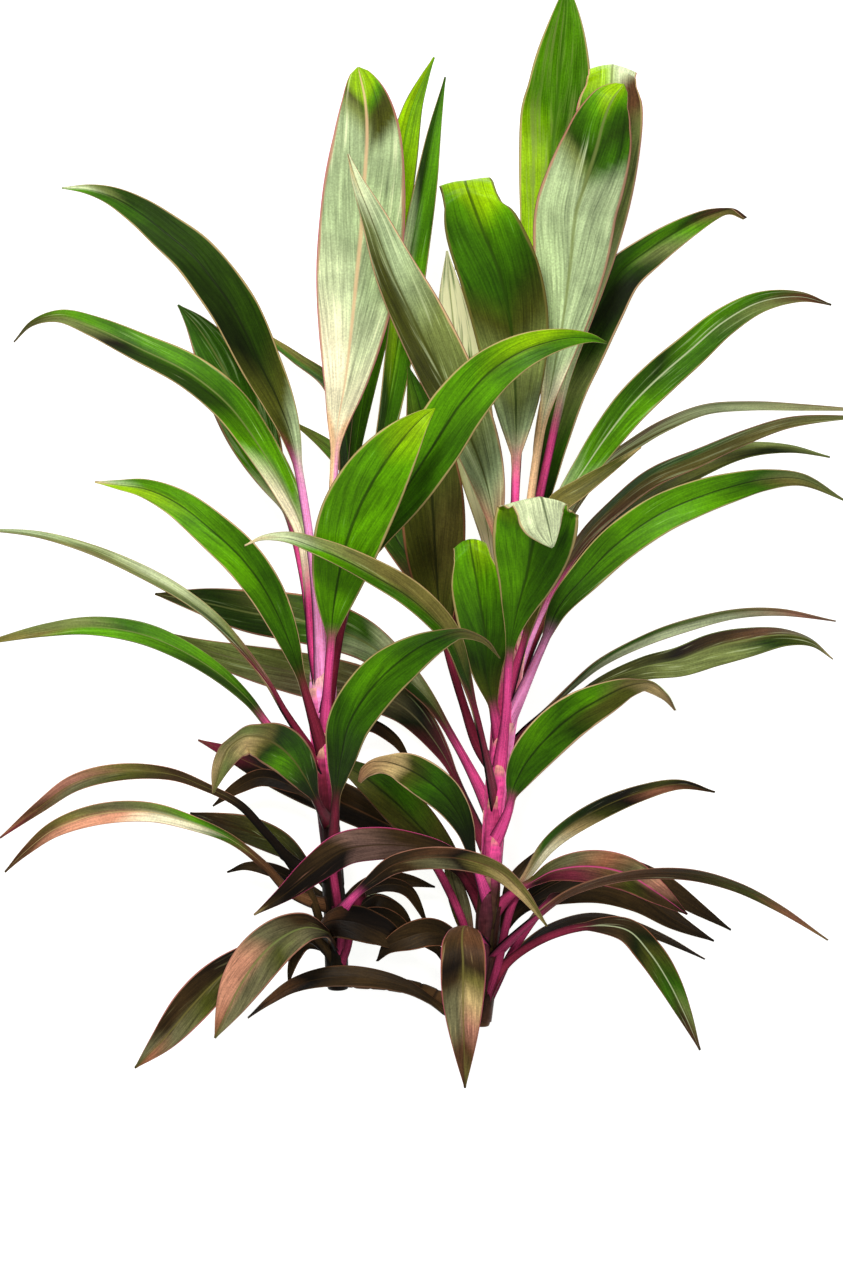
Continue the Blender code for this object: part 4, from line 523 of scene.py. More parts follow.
# Any other small shaded leaf has SHADED_PAINT
# Rows of seen hold each leaf's own colours and also painted light and shade: dark and black rows
# where shadows and shade fall, and lime, bright and cream patches where the sun lights or shines
# through a blade.
PAINTS = {
    **dict.fromkeys(ROSY_STALKS, STALK_PAINT),
    "leaf_shaded_front": Paint(BLACK, (
        (0.1, BLACK), (0.35, BROWN, BLACK), (0.45, BLACK), (0.8, BLACK, BRONZE), (1.0, BLACK)),
        rib=BLACK, edge=BROWN, streak=0.0),
    "leaf_shaded_grey": Paint(MAROON, (
        (0.3, MAROON), (0.5, MOSS, ASH), (1.0, ASH)), rib=DARK, edge=BROWN, streak=0.1),
    "leaf_right_top_spear": Paint(MAROON, (
        (0.4, GREEN, DEEP), (0.6, LIME, GREEN), (0.7, LIME, GREEN), (0.8, BRIGHT, GREEN),
        (0.9, BRIGHT), (1.0, GREEN)), rib=GREEN, bands=SAGE, streak=0.5),
    # Painted shadow of the curled tip: the deep green band below the tip; the lime tip itself is
    # painted light shining through.
    "leaf_right_top_broad": Paint(PEACH, (
        (0.37, PEACH), (0.42, CREAM), (0.48, SILVER), (0.79, SILVER), (0.83, SAGE, GREEN),
        (0.85, DEEP, GREEN), (0.885, GREEN, DEEP), (0.92, BRIGHT, GREEN), (0.95, LIME, BRIGHT),
        (1.0, LIME)), rib=SAGE, edge=BLUSH, streak=0.2),
    "leaf_right_top_curled": Paint(ROSE, (
        (0.34, PALE), (0.6, SILVER, SAGE), (0.7, SAGE), (0.75, MOSS, SAGE), (0.79, BRIGHT, BROWN),
        (0.83, LIME, BROWN), (0.86, LIME, PALE), (1.0, PALE)), rib=SAGE, line=ROSE, streak=0.15),
    "leaf_right_dark_arm": Paint(ROSE, (
        (0.22, DARK), (0.34, DEEP, GREEN), (0.46, GREEN, SAGE), (0.54, DARK, DEEP), (0.62, DARK),
        (0.68, DEEP, DARK), (0.73, GREEN, DEEP), (0.79, BRIGHT, SAGE), (0.85, DEEP, BRIGHT),
        (0.91, BROWN, OLIVE), (1.0, BLACK)), edge=PEACH, streak=0.0),
    "leaf_right_shield": Paint(ROSE, (
        (0.34, PEACH), (0.37, SILVER), (0.44, SAGE), (0.5, SAGE), (0.56, MOSS), (0.62, GREEN, DEEP),
        (0.67, GREEN), (0.72, GREEN, BRIGHT), (0.76, BRIGHT, LIME), (0.79, LIME)), edge=OLIVE,
        bands=SILVER, streak=0.05),
    "leaf_right_striped": Paint(MAROON, (
        (0.22, MAROON), (0.38, SILVER), (0.6, CREAM, BRIGHT), (0.8, PALE, GREEN), (1.0, GREEN)),
        rib=SAGE, bands=CREAM, streak=0.8),
    # Painted shade: the moss left half is a band of shadow beside the lit silver right half.
    "leaf_right_silver": Paint(BLUSH, (
        (0.22, BLUSH), (0.32, SILVER), (0.42, SAGE), (0.5, MOSS, SAGE), (0.62, MOSS, SAGE),
        (0.76, MOSS, SILVER), (0.84, SAGE, SILVER), (0.9, PALE), (0.96, TAN, PALE), (1.0, BROWN)),
        rib=MOSS, edge=PEACH, line=MAROON, streak=0.25),
    "leaf_right_hanging_middle": Paint(MAROON, (
        (0.3, DARK), (0.42, MOSS), (0.6, MOSS, OLIVE), (0.75, MOSS, DEEP), (1.0, GREEN)), rib=DARK,
        edge=SALMON, bands=SAGE, streak=0.1),
    "leaf_right_high_arm": Paint(PEACH, (
        (0.22, PALE), (0.4, BRIGHT), (0.54, GREEN, BRIGHT), (0.61, DEEP, GREEN),
        (0.72, BRIGHT, GREEN), (0.84, GREEN, SAGE), (0.92, BROWN), (1.0, BLACK)), rib=PALE,
        streak=0.2),
    "leaf_right_thin_high": Paint(ROSE, (
        (0.2, MAROON), (0.4, OLIVE), (0.55, BROWN, OLIVE), (0.7, SAGE, PALE), (1.0, TAN)), rib=PALE,
        streak=0.5),
    "leaf_right_olive_short": Paint(ROSE, (
        (0.2, MOSS), (0.6, OLIVE), (0.9, MOSS), (1.0, TAN)), rib=OLIVE),
    "leaf_right_thin_pink_stalk": Paint(PINK, (
        (0.24, ROSE), (0.3, BROWN), (0.42, DEEP, BROWN), (0.62, GREEN, OLIVE), (0.8, OLIVE),
        (1.0, SAGE)), rib=OLIVE, edge=BLUSH, streak=0.25),
    "leaf_right_shadow_arm": Paint(MAROON, (
        (0.25, BROWN), (0.5, DARK), (0.7, BLACK, MOSS), (0.85, SAGE, DARK), (1.0, SAGE)), rib=MOSS,
        edge=SAGE, streak=0.1),
    "leaf_right_broad_arm": Paint(PINK, (
        (0.22, DEEP), (0.34, GREEN), (0.5, BRIGHT), (0.68, BRIGHT), (0.76, GREEN),
        (0.83, SAGE, OLIVE), (1.0, SAGE)), rib=DARK, streak=0.08),
    "leaf_right_folded_front": Paint(ROSE, (
        (0.3, DEEP), (0.42, GREEN), (0.56, BRIGHT, GREEN), (0.7, BRIGHT, GREEN),
        (0.76, LIME, BRIGHT), (0.86, LIME, BRIGHT), (1.0, BRIGHT)), streak=0.0),
    "leaf_right_small_lime": Paint(ROSE, (
        (0.14, MOSS), (0.3, DEEP), (0.48, GREEN), (0.6, BRIGHT), (0.74, BRIGHT, LIME),
        (0.82, LIME)), back=PEACH, streak=0.0),
    "leaf_right_crossing": Paint(MAROON, (
        (0.26, MAROON), (0.33, DEEP), (0.45, GREEN, OLIVE), (0.65, GREEN, OLIVE),
        (0.8, BRIGHT, SAGE), (0.9, PALE), (1.0, PEACH)), rib=DARK, streak=0.1),
    "leaf_right_tan_tip": Paint(ROSE, (
        (0.12, DEEP), (0.3, GREEN), (0.45, BRIGHT, GREEN), (0.55, GREEN, DEEP),
        (0.68, BRIGHT, MOSS), (0.78, OLIVE, MOSS), (0.88, OLIVE, TAN), (1.0, BROWN)), rib=DARK,
        edge=PEACH, streak=0.0),
    "leaf_right_thin_middle": Paint(MAROON, (
        (0.2, DARK), (0.45, GREEN, PALE), (0.7, SAGE, PALE), (0.88, BLUSH), (1.0, BROWN)), rib=SAGE,
        streak=0.3),
    "leaf_right_twisted_middle": Paint(MAROON, (
        (0.2, DARK), (0.4, MOSS), (0.55, BLACK, SAGE), (0.68, BRONZE, SAGE), (0.78, BROWN, DEEP),
        (0.92, MOSS), (1.0, TAN)), rib=SAGE, edge=SAGE, streak=0.2),
    "leaf_right_low_green": Paint(WINE, (
        (0.18, PEACH, CREAM), (0.34, GREEN, CREAM), (0.46, DEEP, TAN), (0.56, DARK, MOSS),
        (0.66, BLACK), (0.78, MOSS, SALMON), (0.86, BLACK, BROWN), (1.0, BLACK)), rib=OLIVE,
        bands=CREAM, streak=0.1),
    "leaf_right_bronze_arch": Paint(WINE, (
        (0.22, MOSS, BLACK), (0.42, ASH, MAROON), (0.56, SALMON, BROWN), (0.68, ASH, MOSS),
        (0.78, BLUSH, BRONZE), (0.9, BRONZE), (1.0, BLACK)), rib=ROSE, edge=SALMON, line=ROSE,
        bands=TAN, streak=0.1),
    "leaf_right_low_dark": Paint.dark(0.2, 0.6),
    "leaf_right_low_resting": Paint.dark(0.2, 0.7),
    "leaf_right_long_whip": Paint(WINE, (
        (0.36, BROWN), (0.55, BRONZE), (0.75, MOSS), (0.88, SALMON), (1.0, OLIVE)), rib=BROWN,
        edge=BLUSH, streak=0.1),
    "leaf_right_low_whip": Paint.dark(0.3, 0.7),
    "leaf_right_drooping": Paint(MAROON, (
        (0.36, BLACK), (0.5, BRONZE), (0.58, DARK), (0.64, MOSS), (0.75, GREEN),
        (0.86, SAGE, BRONZE), (0.95, BROWN), (1.0, BLACK)), rib=PALE, edge=SALMON),
    # Painted shadow: the dark brown, bronze and black rows of its upper third, with a slanting
    # edge.
    "leaf_right_hanging_front": Paint(ROSE, (
        (0.12, SALMON), (0.17, BROWN), (0.34, BROWN, BRONZE), (0.44, BRONZE, BLACK),
        (0.5, OLIVE, BRONZE), (0.58, TAN, ASH), (0.7, BLUSH, ASH), (0.8, BROWN),
        (0.92, OLIVE, BROWN), (1.0, BRONZE)), rib=OLIVE, edge=SALMON, line=ROSE, bands=TAN,
        streak=0.08),
    "leaf_right_lowest_left": Paint(BRONZE, (
        (0.1, BLACK), (0.5, BRONZE), (0.7, BLACK), (0.78, BROWN), (0.86, BROWN), (0.92, BLACK)),
        rib=BRONZE, edge=BROWN, streak=0.0),
    "leaf_right_tan_flap": Paint(ROSE, (
        (0.18, BLACK), (0.35, DARK), (0.5, DEEP), (0.62, GREEN), (0.72, MOSS), (0.77, TAN),
        (1.0, SALMON)), back=TAN, rib=DARK, edge=PEACH, streak=0.0),
    "leaf_right_dark_sweep": Paint(MAROON, (
        (0.2, BLACK), (0.4, BLACK, MOSS), (0.6, MOSS, GREEN), (0.8, MOSS, DEEP), (1.0, MOSS)),
        rib=DARK, edge=BROWN, streak=0.0),
    "leaf_right_long_left": Paint(ROSE, (
        (0.2, MAROON), (0.3, DEEP, SAGE), (0.42, GREEN, PALE), (0.5, SILVER, GREEN), (0.6, GREEN),
        (0.7, DEEP, MOSS), (0.85, DEEP), (1.0, BRONZE)), rib=SAGE, edge=BLUSH, streak=0.15),
    "leaf_right_resting_left": Paint(MAROON, (
        (0.2, MAROON), (0.35, DARK), (0.48, ASH), (0.65, ASH, SAGE), (0.8, SAGE), (1.0, MOSS)),
        rib=ASH, edge=BLUSH, bands=SILVER, streak=0.2),
    "leaf_right_brown_left": Paint(MAROON, (
        (0.2, BLACK), (0.6, BLACK, BRONZE), (0.8, BLACK), (0.93, MAROON), (1.0, BROWN)), rib=BROWN,
        edge=BROWN, streak=0.0),
    "leaf_right_bronze_over": Paint(MAROON, (
        (0.2, BLACK), (0.36, BRONZE), (0.42, MAUVE, BRONZE), (0.56, MAUVE), (0.61, BLACK, BRONZE),
        (0.85, BLACK), (0.93, BRONZE), (1.0, TAN)), rib=BRONZE, edge=MAROON, line=ROSE, bands=BLUSH,
        streak=0.05),
    "leaf_right_low_short": Paint.dark(0.2, 0.6, SALMON),
    "leaf_right_behind_middle": Paint(MAROON, (
        (0.2, MAROON), (0.5, DEEP), (0.8, GREEN), (1.0, OLIVE)), rib=DARK, edge=SALMON, bands=SAGE,
        streak=0.15),
    "leaf_left_glossy_arm": Paint(PINK, (
        (0.35, MAROON, SILVER), (0.4, MOSS, SILVER), (0.46, MOSS), (0.55, DARK, DEEP), (0.8, DEEP),
        (0.87, GREEN, DEEP), (0.91, GREEN, SAGE), (0.95, BRIGHT, PALE), (1.0, PALE)), rib=DARK,
        streak=0.0),
    "leaf_left_second_arm": Paint(ROSE, (
        (0.24, CREAM), (0.34, CREAM, BRIGHT), (0.45, BRIGHT), (0.55, DEEP, GREEN),
        (0.68, DEEP, BRIGHT), (0.76, BLACK, GREEN), (0.84, SAGE, BRIGHT), (0.92, MOSS),
        (1.0, BRONZE)), rib=SAGE, bands=CREAM, streak=0.1),
    "leaf_left_back_broad": Paint(ROSE, (
        (0.42, CREAM), (0.55, BRIGHT, GREEN), (0.75, GREEN)), rib=SAGE, edge=BLUSH, bands=SILVER,
        streak=0.35),
    "leaf_left_behind_strip": Paint(MAROON, (
        (0.3, DARK), (0.7, DEEP), (0.85, GREEN, OLIVE), (1.0, BRIGHT)), rib=GREEN, edge=BLUSH),
    # Painted shadow: the moss band just under the lime tip; the lime tip is painted light shining
    # through.
    "leaf_left_tall_pale": Paint(PEACH, (
        (0.375, PEACH), (0.4, CREAM), (0.5, CREAM, PALE), (0.6, PALE, SILVER), (0.7, SILVER),
        (0.84, SILVER), (0.87, SILVER, MOSS), (0.905, SAGE, MOSS), (0.925, MOSS, BRIGHT),
        (0.945, LIME)), rib=PEACH, edge=BLUSH, line=ROSE, bands=CREAM, streak=0.2,
        stalk_right=PINK),
    "leaf_left_lime_spear": Paint(MAROON, (
        (0.3, DEEP), (0.6, BRIGHT), (0.7, LIME), (1.0, LIME, BRIGHT)), rib=BRIGHT, edge=OLIVE,
        streak=0.0),
    # Painted highlight: the lime, cream and silver patch on its left half.
    "leaf_left_lime_narrow": Paint(MAROON, (
        (0.3, DEEP), (0.46, DEEP, GREEN), (0.56, LIME, BRIGHT), (0.66, CREAM, BRIGHT),
        (0.72, SILVER, GREEN), (0.8, DEEP, BRIGHT), (1.0, GREEN)), rib=GREEN, streak=0.1),
    "leaf_left_front_lime": Paint(ROSE, (
        (0.3, GREEN), (0.42, BRIGHT), (0.8, BRIGHT), (0.92, LIME)), rib=DARK, streak=0.03),
    "leaf_left_front_long": Paint(MAROON, (
        (0.3, DARK), (0.45, GREEN), (0.6, BRIGHT, GREEN), (0.72, BRIGHT), (0.85, LIME, GREEN),
        (0.93, BRIGHT), (0.97, GREEN), (1.0, BROWN)), rib=DARK, streak=0.0),
    "leaf_left_inner_curl": Paint(MAROON, (
        (0.15, DARK), (0.32, DEEP), (0.48, GREEN), (0.62, BRIGHT, GREEN), (0.8, GREEN),
        (0.88, OLIVE)), back=TAN, rib=DARK, streak=0.0),
    "leaf_left_lime_arm": Paint(MAROON, (
        (0.22, DEEP), (0.34, GREEN), (0.55, BRIGHT, GREEN), (0.7, BRIGHT), (0.85, LIME, BRIGHT),
        (0.93, LIME, SILVER), (1.0, PEACH)), rib=DARK, edge=PEACH, streak=0.04),
    "leaf_left_thin_arm": Paint(MAROON, (
        (0.24, MAROON), (0.35, DEEP, SAGE), (0.55, SAGE, PALE), (0.7, OLIVE, SAGE),
        (0.85, SAGE, SILVER), (1.0, SAGE)), rib=SAGE, streak=0.3),
    "leaf_left_green_arm": Paint(ROSE, (
        (0.22, DEEP), (0.4, DEEP, BRIGHT), (0.6, BRIGHT, GREEN), (0.7, BRIGHT, SAGE),
        (0.8, OLIVE, SAGE), (0.9, OLIVE), (1.0, MOSS)), rib=SAGE, edge=SAGE, streak=0.1),
    "leaf_left_folded": Paint(MAROON, (
        (0.2, DARK), (0.34, DEEP), (0.5, BRIGHT, GREEN), (0.6, DEEP), (0.64, OLIVE),
        (0.72, TAN, SAGE), (0.86, SAGE, TAN), (1.0, OLIVE)), rib=OLIVE, edge=BLUSH, streak=0.05),
    "leaf_left_red_tip": Paint(BLACK, (
        (0.48, BRONZE), (0.6, MOSS, OLIVE), (0.74, ASH, BLUSH), (0.86, BROWN),
        (0.96, MAROON, SALMON), (1.0, BROWN)), rib=OLIVE, edge=SHELL, streak=0.05),
    "leaf_left_brown_tip": Paint(BROWN, (
        (0.25, BROWN), (0.33, GREEN), (0.42, CREAM, BRIGHT), (0.52, CREAM, SAGE),
        (0.62, SHELL, ASH), (0.75, SHELL, OLIVE), (0.88, BROWN), (1.0, BRONZE)), rib=TAN,
        edge=SHELL, streak=0.05),
    "leaf_left_dark_low": Paint(BRONZE, (
        (0.2, BLACK), (0.5, MOSS), (0.8, BRONZE), (1.0, BLACK)), rib=BRONZE, edge=SALMON,
        streak=0.1),
    "leaf_left_olive_right": Paint(ROSE, (
        (0.25, BLACK), (0.42, BRONZE), (0.52, BROWN, ASH), (0.6, BLACK), (0.68, OLIVE),
        (0.82, OLIVE, TAN), (1.0, OLIVE)), rib=BROWN, edge=BLUSH, bands=TAN, streak=0.08),
    "leaf_left_salmon_edge": Paint(BRONZE, (
        (0.16, BLACK), (0.34, ASH, BRONZE), (0.48, MOSS, ASH), (0.6, ASH, SHELL),
        (0.78, ASH, SHELL), (0.9, ASH, SALMON), (1.0, OLIVE)), rib=SAGE, edge=BLUSH, bands=SAGE),
    "leaf_left_lowest": Paint(BRONZE, (
        (0.2, BLACK), (0.4, BRONZE, BLACK), (0.6, MOSS, BRONZE), (0.78, ASH, BRONZE),
        (0.9, SALMON, ASH), (1.0, MOSS)), rib=OLIVE, edge=BLUSH, line=ROSE, bands=ASH, streak=0.2),
}


def place(path: tuple) -> Array:
    """Rows of a drawn path as points seen from the eye above.

    Formula: a pixel is PIXEL wide at the canes' height, and wider or narrower in proportion to
    its distance from the eye.

    Args:
        path: rows of pixels across and down, and height in mm.

    Returns:
        Rows of x, y and z in metres.
    """
    seen = np.asarray(path, dtype=float)
    height = seen[:, 2] / 1000.0 - SETTLE
    span = PIXEL * (EYE_HEIGHT - height) / (EYE_HEIGHT - CANE_HEIGHT)
    across = (seen[:, 0] - MIDDLE_PX[0]) * span + ORIGIN_SHIFT[0]
    along = (MIDDLE_PX[1] - seen[:, 1]) * span + ORIGIN_SHIFT[1]
    return np.column_stack((across, along, height))


def smooth(value: Array) -> Array:
    """The soft step: 0 below 0, 1 above 1, level at both ends."""
    value = np.clip(value, 0.0, 1.0)
    return value * value * (3.0 - 2.0 * value)


def unit(rows: Array) -> Array:
    """Each row scaled to length 1."""
    return rows / np.linalg.norm(rows, axis=-1, keepdims=True)


def run_of(points: Array) -> Array:
    """Distance travelled along a line at each of its points."""
    steps = np.linalg.norm(np.diff(points, axis=0), axis=1)
    return np.concatenate(([0.0], np.cumsum(steps)))


def curve_through(points: Array, per_span: int = 24) -> Array:
    """A smooth curve through points.

    Formula: centripetal Catmull-Rom, where the time between two points is the square root of
    their distance.

    Args:
        points: rows of x, y and z.
        per_span: how many points the curve has from each given point to the next.

    Returns:
        The curve's points.
    """
    knots = np.vstack((2.0 * points[0] - points[1], points, 2.0 * points[-1] - points[-2]))
    steps = np.linalg.norm(np.diff(knots, axis=0), axis=1) ** 0.5
    time = np.concatenate(([0.0], np.cumsum(steps)))
    rows = []
    for i in range(1, len(knots) - 2):
        t0, t1, t2, t3 = time[i - 1:i + 3]
        p0, p1, p2, p3 = knots[i - 1:i + 3]
        t = np.linspace(t1, t2, per_span, endpoint=False)[:, None]
        a1 = (t1 - t) / (t1 - t0) * p0 + (t - t0) / (t1 - t0) * p1
        a2 = (t2 - t) / (t2 - t1) * p1 + (t - t1) / (t2 - t1) * p2
        a3 = (t3 - t) / (t3 - t2) * p2 + (t - t2) / (t3 - t2) * p3
        b1 = (t2 - t) / (t2 - t0) * a1 + (t - t0) / (t2 - t0) * a2
        b2 = (t3 - t) / (t3 - t1) * a2 + (t - t1) / (t3 - t1) * a3
        rows.append((t2 - t) / (t2 - t1) * b1 + (t - t1) / (t2 - t1) * b2)
    rows.append(points[-1][None, :])
    return np.vstack(rows)


class Stem:
    """The line and radius of a cane or the rootstock."""

    def __init__(self, rows: list) -> None:
        """Reads rows of pixels across and down, height in mm and radius in mm."""
        self.points = place([row[:3] for row in rows])
        self.radii = np.array([row[3] for row in rows]) / 1000.0

    def at_level(self, level: Array) -> tuple:
        """Middle line's place across, its height and the radius at each level along Y."""
        known = self.points[:, 1]
        return tuple(np.interp(level, known, values) for values in
                     (self.points[:, 0], self.points[:, 2], self.radii))

    def light(self, points: Array) -> Array:
        """How much light reaches points near this stem.

        Formula: 1 less SHADE times how low the point is times how near it is to the stem.

        Args:
            points: points of a grid.

        Returns:
            A share of the light for each point.
        """
        low = 1.0 - smooth(points[..., 2] / SHADE_HEIGHT)
        level = np.clip(points[..., 1], self.points[0, 1], self.points[-1, 1])
        across, _, _ = self.at_level(level)
        away = np.hypot(points[..., 0] - across, points[..., 1] - level)
        near = 1.0 - smooth((away - SHADE_REACH[0]) / SHADE_REACH[1])
        return 1.0 - SHADE * low * near

    def seat(self, foot: Array) -> Array:
        """A leaf's foot moved onto the stem's middle line, as the part's source does.

        Args:
            foot: the foot as drawn.

        Returns:
            The foot inside the stem, at the same level.
        """
        x, z, radius = self.at_level(foot[1])
        room = radius - FOOT_DEPTH
        return np.array((x, foot[1], z + float(np.clip(foot[2] - z, -room, room))))


class Spine:
    """The line of a leaf's midrib, with the directions across and out of the blade."""

    def __init__(self, leaf: Leaf, stem: Stem) -> None:
        """Works the line, its directions, its fold and its bends out.

        Args:
            leaf: the leaf's row of the table.
            stem: the stem that it grows from.
        """
        drawn = place(leaf.path)
        drawn[0] = stem.seat(drawn[0])
        self.points = curve_through(drawn)
        travelled = run_of(self.points)
        self.length = travelled[-1]
        self.along = travelled / self.length
        self.tangent = unit(np.gradient(self.points, travelled, axis=0))
        self._turn_blade(leaf)
        self._find_bend(travelled)

    def _turn_blade(self, leaf: Leaf) -> None:
        """Sets the directions across and out, and the fold, along the leaf.

        Formula: the carried direction turned by the leaf's own angle, which is level where the
        leaf is pressed flat, and by its extra turn towards the tip.

        Args:
            leaf: the leaf's row of the table.
        """
        across = self._carried_across()
        out = np.cross(self.tangent, across)
        pressed = smooth(self.points[:, 2] / PRESS_HEIGHT)
        level = 180.0 * round(leaf.face / 180.0)
        late = smooth((self.along - TIP_TURN_FROM) / (1.0 - TIP_TURN_FROM))
        turn = level + (leaf.face - level) * pressed + leaf.tip_turn * late
        turn = np.radians(turn)[:, None]
        self.across = np.cos(turn) * across + np.sin(turn) * out
        self.out = np.cos(turn) * out - np.sin(turn) * across
        self.fold = math.radians(leaf.fold) * pressed

    def _carried_across(self) -> Array:
        """The direction across, level at one place and carried from there without twist.

        Returns:
            A direction for each point of the spine.
        """
        middle = int(np.searchsorted(self.along, LEVEL_PLACE))
        up = np.array((0.0, 0.0, 1.0))
        across = np.zeros_like(self.tangent)
        across[middle] = unit(np.cross(up, self.tangent[middle]))
        onward = [(i, i - 1) for i in range(middle + 1, len(across))]
        backward = [(i, i + 1) for i in range(middle - 1, -1, -1)]
        for i, before in onward + backward:
            carried = across[before]
            across[i] = unit(carried - self.tangent[i] * carried.dot(self.tangent[i]))
        return across

    def _find_bend(self, travelled: Array) -> None:
        """Sets how sharply the leaf bends, where most, and its way before that place.

        Args:
            travelled: distance along the spine at each of its points.
        """
        bend = np.linalg.norm(np.gradient(self.tangent, travelled, axis=0), axis=1)
        even = np.full(BEND_AVERAGE, 1.0 / BEND_AVERAGE)
        bend = np.convolve(np.pad(bend, BEND_AVERAGE // 2, mode="edge"), even, mode="valid")
        self.crease = smooth((bend - CREASE_FROM) / (CREASE_FULL - CREASE_FROM))
        self.sharpest = self.along[bend.argmax()]
        before = int(np.searchsorted(self.along, self.sharpest - BEND_BEFORE / self.length))
        self.before = self.tangent[max(before, 0)]

    def near_bend(self, along: Array, reach: float) -> Array:
        """How sharp the sharpest bend is, times a bell of the distance from it."""
        away = (along - self.sharpest) * self.length / reach
        return self.crease.max() * np.exp(-away ** 2)

    def drop(self, name: str, along: Array, across: Array) -> Array:
        """Offset that rounds and levels the top of a sharp bend.

        Formula: back along the way before the bend by ARCH times u^2 less the slant times u,
        fading with a bell of the distance from the bend.

        Args:
            name: the leaf's name.
            along: places v along the spine.
            across: places u across the blade.

        Returns:
            The offset (v, u, 3).
        """
        amount = ARCH * across ** 2 - SLANTS.get(name, 0.0) * across
        share = self.near_bend(along, ARCH_REACH)
        return -share[:, None, None] * amount[None, :, None] * self.before

    def at(self, rows: Array, along: Array) -> Array:
        """A row of values read at each place along the spine."""
        return np.column_stack([np.interp(along, self.along, rows[:, k]) for k in range(3)])

    def stations(self, count: int) -> Array:
        """Places along the spine, closer together where it bends.

        Formula: even steps of the length weighted by 1 plus BEND_WEIGHT times the bend.

        Args:
            count: number of panels between them.

        Returns:
            One place more than there are panels.
        """
        bend = np.linalg.norm(np.gradient(self.tangent, self.along, axis=0), axis=1)
        weight = 1.0 + BEND_WEIGHT * np.minimum(bend, MOST_BEND)
        travelled = np.concatenate(([0.0], np.cumsum(weight[1:] * np.diff(self.along))))
        return np.interp(np.linspace(0.0, travelled[-1], count + 1), travelled, self.along)


def half_width(leaf: Leaf, along: Array, fine: bool = False) -> Array:
    """Half the leaf's width at each place along it.

    Formula: the root of the squares of a stalk that tapers to the tip and of a blade whose
    outline is a power of the sine of its own length, bulged towards the foot. The power is
    lower past the widest place of a fine round tip.

    Args:
        leaf: the leaf's row of the table.
        along: places along it.
        fine: whether round tips are rounded.

    Returns:
        Half widths in metres.
    """
    blade = np.clip((along - leaf.neck) / (1.0 - leaf.neck), 0.0, 1.0)
    bulge = math.log(0.5) / math.log(leaf.peak)
    tip = ROUND_TIPS.get(leaf.name, leaf.blunt) if fine else leaf.blunt
    power = np.where(blade > leaf.peak, tip, leaf.blunt)
    outline = np.sin(np.pi * blade ** bulge) ** power * (along > leaf.neck)
    stalk = 0.5 * PETIOLE_WIDTH * (1.0 - blade) + 0.5 * TIP_WIDTH * blade
    return np.sqrt(stalk ** 2 + (0.5 * leaf.width / 1000.0 * outline) ** 2)


def blade_share(leaf: Leaf, along: Array) -> Array:
    """0 on the petiole and 1 on the blade, with a soft step between them."""
    start = BLADE_FROM * leaf.neck
    return smooth((along - start) / (leaf.neck + BLADE_STEP - start))


def leaf_grid(leaf: Leaf, spine: Spine, along: Array, across: Array,
              fine: bool = False) -> tuple:
    """Middle surface and half thickness of a leaf, as f(u, v).

    Formula: the spine at v, plus the half width times u along the direction across, plus a rise
    for the fold of both halves and a small sine wave along the edges.

    Args:
        leaf: the leaf's row of the table.
        spine: its spine.
        along: places v along the spine, 0 at the foot and 1 at the tip.
        across: places u across the blade, -1 and 1 at its edges.
        fine: whether sharp bends lie flatter and round tips are rounded.

    Returns:
        The points (v, u, 3), the half thickness (v, u) and the outward direction (v, 1, 3).
    """
    across = across[None, :]
    v = along[:, None]
    width = half_width(leaf, along, fine)[:, None]
    is_blade = blade_share(leaf, v)
    fold = np.interp(along, spine.along, spine.fold)[:, None] * is_blade
    if fine:
        width = width * (1.0 - BEND_NARROW * spine.near_bend(along, BEND_REACH))[:, None]
        fold = fold * (1.0 - np.interp(along, spine.along, spine.crease))[:, None]
    wave_height = WAVE_HEIGHT * width * is_blade * across ** 2 * (fold > LEAST_FOLD)
    lag = np.where(across > 0.0, 0.0, LEFT_WAVE_LAG)
    wave = wave_height * np.sin(2.0 * np.pi * WAVES * v + lag)
    side = width * across * np.cos(fold)
    rise = width * np.abs(across) * np.sin(fold) + wave
    centre = spine.at(spine.points, along)[:, None, :]
    side_way = unit(spine.at(spine.across, along))[:, None, :]
    out_way = unit(spine.at(spine.out, along))[:, None, :]
    middle = centre + side[..., None] * side_way + rise[..., None] * out_way
    stalk_part = PETIOLE_THICK * (1.0 - is_blade)
    blade_part = BLADE_THICK * is_blade
    rib = stalk_part + blade_part * RIB_RISE * (1.0 - v) + RIB_THICK_TIP * is_blade * v
    edge = stalk_part * PETIOLE_EDGE + blade_part
    half_thick = 0.5 * (edge + (rib - edge) * (1.0 - np.abs(across)) ** 2)
    return middle, half_thick, out_way


def corners_of(item: bpy.types.Object) -> Array:
    """The corner points of a mesh object.

    Args:
        item: the object.

    Returns:
        Rows of x, y and z.
    """
    points = np.empty(len(item.data.vertices) * 3, dtype=np.float32)
    item.data.vertices.foreach_get("co", points)
    return points.reshape(-1, 3).astype(float)


def sheet_faces(count_along: int, count_across: int) -> Array:
    """The quads of an upper and an under grid, and of the rim that closes them.

    Args:
        count_along: panels along the grid.
        count_across: panels across it.

    Returns:
        Rows of four indices, those of both grids first.
    """
    rows = count_across + 1
    size = (count_along + 1) * rows
    i, j = np.meshgrid(np.arange(count_along), np.arange(count_across), indexing="ij")
    a = (i * rows + j).ravel()
    flat = np.column_stack((a, a + rows, a + rows + 1, a + 1))
    i = np.arange(count_along) * rows
    j = i + rows - 1
    k = np.arange(count_across)
    m = k + count_along * rows
    return np.vstack((
        flat, flat[:, ::-1] + size,
        np.column_stack((i, i + size, i + rows + size, i + rows)),
        np.column_stack((j, j + rows, j + rows + size, j + size)),
        np.column_stack((k, k + 1, k + 1 + size, k + size)),
        np.column_stack((m, m + size, m + 1 + size, m + 1))))


